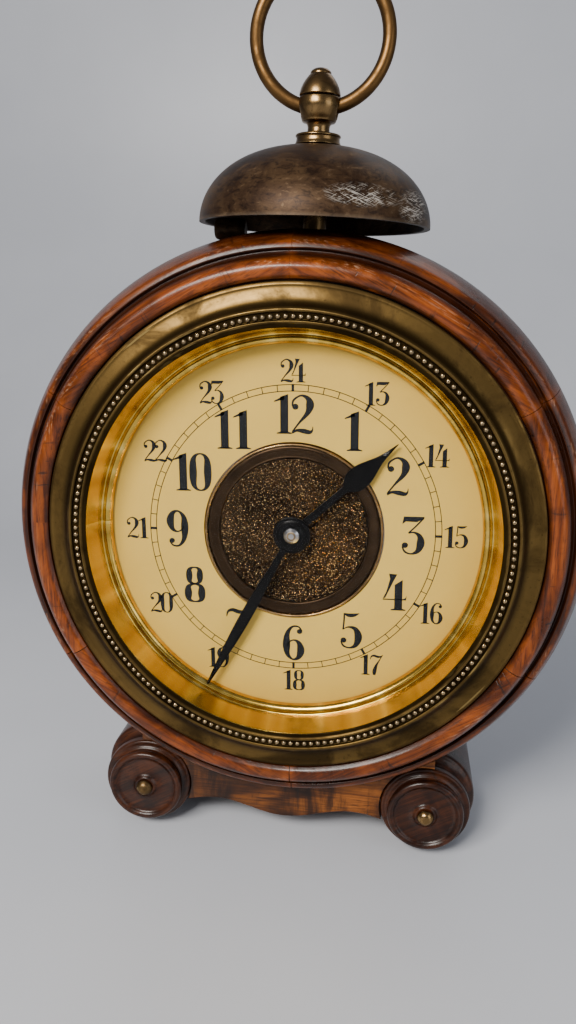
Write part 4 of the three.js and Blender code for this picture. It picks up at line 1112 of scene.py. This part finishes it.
def knurled(name, node, look, body, teeth=48):
    """A setting knob with a milled edge."""
    low, high = (local(corner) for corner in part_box(node))
    centre, radius = spot(node), (high.x - low.x) / 2
    sides = teeth * 4
    profile = soften([(1.6, low.y), (radius * 0.6, low.y, 0.4), (radius, low.y + 2, 0.4),
                      (radius, high.y - 1.2, 0.9), (radius - 1.6, high.y, 0.5), (0, high.y)], 4, False)
    profile = [(0, low.y + 4.8), (1.6, low.y + 4.8)] + profile
    verts, faces = turned(profile, sides, centre)
    count = len(profile)
    for k in range(sides):
        notch = 1 - 0.035 * (k % 4 in (0, 1))
        for i, (r, y) in enumerate(profile):
            if r > radius * 0.93:
                at = verts[k * count + i]
                middle = place(centre[0], y, centre[1])
                verts[k * count + i] = middle + (at - middle) * notch
    build(name, verts, faces, look, body=body, slot="finial_brass", replaces=(node,))


def winding_key(name, node, body):
    """A socket with a pierced two-lobed wing."""
    low, high = (local(corner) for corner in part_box(node))
    cx, cz = spot(node)
    socket = turned(soften([(2.8, 59.5, 0.2), (4.2, 59.5, 0.3), (4.2, 61, 0.3), (3.8, 61.6, 0.3),
                            (3.8, 66, 0.4), (2.9, 67.6, 0.5), (1, 67.9, 0.2), (0.5, 67.9), (0.5, 63.4),
                            (2.8, 63.4, 0.1)], 4), 48, (cx, cz))
    half = (high.x - low.x) / 2
    lobes = []
    for k in range(48):
        a = TAU * k / 48
        reach = half * (0.62 + 0.38 * abs(math.cos(a)) ** 1.2)
        lobes.append((cx + reach * math.cos(a), WING_MIDDLE + WING_HALF * math.sin(a)))
    verts = [Vector(place(x, y, cz + dz)) for dz in (-0.8, 0.8) for x, y in lobes]
    n = len(lobes)
    faces = [tuple(range(n)), tuple(range(n, 2 * n))]
    faces += [(i, (i + 1) % n, n + (i + 1) % n, n + i) for i in range(n)]
    key = build(name, verts, faces, "knob_brass", body=body, slot="finial_brass", replaces=(node,))
    for side in (-1, 1):
        hole = cylinder(1.5, cz - 2, cz + 2, (cx + side * half * 0.62, WING_MIDDLE), 32, "Z")
        carve(key, [hole])
    bevelled(key, 0.25, 2)
    build(name + "_socket", *socket, "knob_brass", body=body, slot="finial_brass")


def alarm_dial():
    """The small alarm dial at the back: a card with twelve figures read from behind."""
    cx, cz = spot("alarm_dial")
    low, high = (local(corner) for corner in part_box("alarm_dial"))
    turning("alarm_dial_card", [(3, low.y, 0.1), (13.6, low.y, 0.2), (14, low.y + 0.5, 0.2),
                                (13.6, high.y - 0.05, 0.2), (3, high.y - 0.05, 0.1)], "paper",
            steps=96, centre=(cx, cz), slot="dial_paper", replaces=("alarm_dial",))
    marks = []
    for hour in range(12):
        angle = TAU * hour / 12
        out = Vector((-math.sin(angle), math.cos(angle)))
        side = Vector((math.cos(angle), math.sin(angle)))
        corners = [out * r + side * s * 0.18 for r, s in ((12.2, -1), (13.2, -1), (13.2, 1), (12.2, 1))]
        marks.append(prism([(cx + c.x, cz + c.y) for c in corners], high.y - 0.05, high.y))
        marks += numeral(str(hour or 12), cx + out.x * 10.2, cz + out.y * 10.2, 2.5, 0.16, 0.5,
                         y1=high.y, thickness=0.05, flip=-1)
    build("alarm_dial_printing", *gather(marks), "ink", slot="hand_blue", smooth=False)


# ---- nodes that keep their CAD shape ------------------------------------------------------
KEPT = {
    "movement_brass": ["movement_front_plate", "movement_back_plate", "minute_wheel", "hour_wheel",
                       "alarm_release_wheel", "time_great_wheel", "centre_wheel", "third_wheel",
                       "fourth_wheel", "escape_wheel", "balance_wheel", "alarm_great_wheel",
                       "alarm_escape_wheel"],
    "steel": ["dial_backing", "cannon_pinion", "centre_arbor", "alarm_set_arbor",
              "time_winding_arbor", "alarm_winding_arbor", "pallet_lever", "regulator_lever",
              "hammer_arbor", "alarm_stop_lever", "bell_post_nut"],
    "spring": ["time_mainspring", "alarm_mainspring", "hairspring"],
    "blued": ["alarm_pointer"],
}


def dress_kept_nodes():
    for look, nodes in KEPT.items():
        for node in nodes:
            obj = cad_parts[node]
            for slot in obj.material_slots:
                slot.material = LOOK[look]


# ---- camera, light and floor --------------------------------------------------------------
CAMERA_FROM_DIAL = (26.8, -237.0, 65.7)      # mm from the centre of the dial
CAMERA_YAW, CAMERA_PITCH, CAMERA_ROLL = 6.87, -14.05, 2.23     # degrees
LENS = 29.7


def camera():
    data = bpy.data.cameras.new("camera")
    data.lens = LENS
    data.sensor_width = 36
    data.clip_start = 0.005
    obj = bpy.data.objects.new("camera", data)
    bpy.context.scene.collection.objects.link(obj)
    turn = (Matrix.Rotation(math.radians(CAMERA_YAW), 4, "Z")
            @ Matrix.Rotation(math.radians(90 + CAMERA_PITCH), 4, "X")
            @ Matrix.Rotation(math.radians(CAMERA_ROLL), 4, "Z"))
    obj.matrix_world = Matrix.Translation(place(*CAMERA_FROM_DIAL)) @ turn
    bpy.context.scene.camera = obj


def softbox(name, at, target, size, power, colour=(1, 1, 1)):
    data = bpy.data.lights.new(name, "AREA")
    data.shape = "RECTANGLE"
    data.size, data.size_y = size
    data.energy = power
    data.color = colour
    obj = bpy.data.objects.new(name, data)
    bpy.context.scene.collection.objects.link(obj)
    obj.location = at
    obj.rotation_euler = (Vector(target) - Vector(at)).to_track_quat("-Z", "Y").to_euler()


def studio():
    mesh = bpy.data.meshes.new("studio_sweep")
    floor, wall, rise = 5.0, 0.62, 0.35
    section = [(-floor, 0.0)] + [
        (wall - rise + rise * math.sin(a), rise - rise * math.cos(a))
        for a in (math.pi / 2 * i / 16 for i in range(17))] + [(wall, 1.6)]
    verts = [(x, y, z) for x in (-4, 4) for y, z in section]
    count = len(section)
    mesh.from_pydata(verts, [], [(i, count + i, count + i + 1, i + 1) for i in range(count - 1)])
    for polygon in mesh.polygons:
        polygon.use_smooth = True
    sweep = bpy.data.objects.new("studio_sweep", mesh)
    sweep.data.materials.append(studio_floor())
    bpy.context.scene.collection.objects.link(sweep)
    softbox("key", (-0.35, -0.75, 0.62), (0, 0, 0.11), (0.34, 0.34), 10.8, (1.0, 0.95, 0.88))
    softbox("glint", (-0.12, -0.62, 0.50), (0, 0, 0.13), (0.09, 0.09), 2.0, (1.0, 0.97, 0.92))
    softbox("fill", (0.8, -0.6, 0.35), (0, 0, 0.10), (0.5, 0.7), 2.5, (0.95, 0.97, 1.0))
    softbox("rim", (0.25, 0.5, 0.8), (0, 0, 0.15), (0.5, 0.3), 0.5)
    world = bpy.data.worlds.new("studio_world")
    world.use_nodes = True
    world.node_tree.nodes["Background"].inputs[0].default_value = (0.78, 0.82, 0.9, 1)
    world.node_tree.nodes["Background"].inputs[1].default_value = 0.24
    bpy.context.scene.world = world


# ---- the scene ----------------------------------------------------------------------------
camera()
front_moulding()
drum()
saddle()
foot("left", -1)
foot("right", 1)
bezel()
front_glass()
surround()
dial()
centre_disc()
hands()
finial(bell())
carrying_ring()
hammer()
back()
knurled("hand_setting_knob", "hand_set_knob", "knob_brass", "hands_arbor")
knurled("alarm_setting_knob", "alarm_set_knob", "knob_brass", "alarm_setting", teeth=36)
winding_key("time_winding_key", "time_key", "time_winding")
winding_key("alarm_winding_key", "alarm_key", "alarm_winding")
alarm_dial()
dress_kept_nodes()
studio()
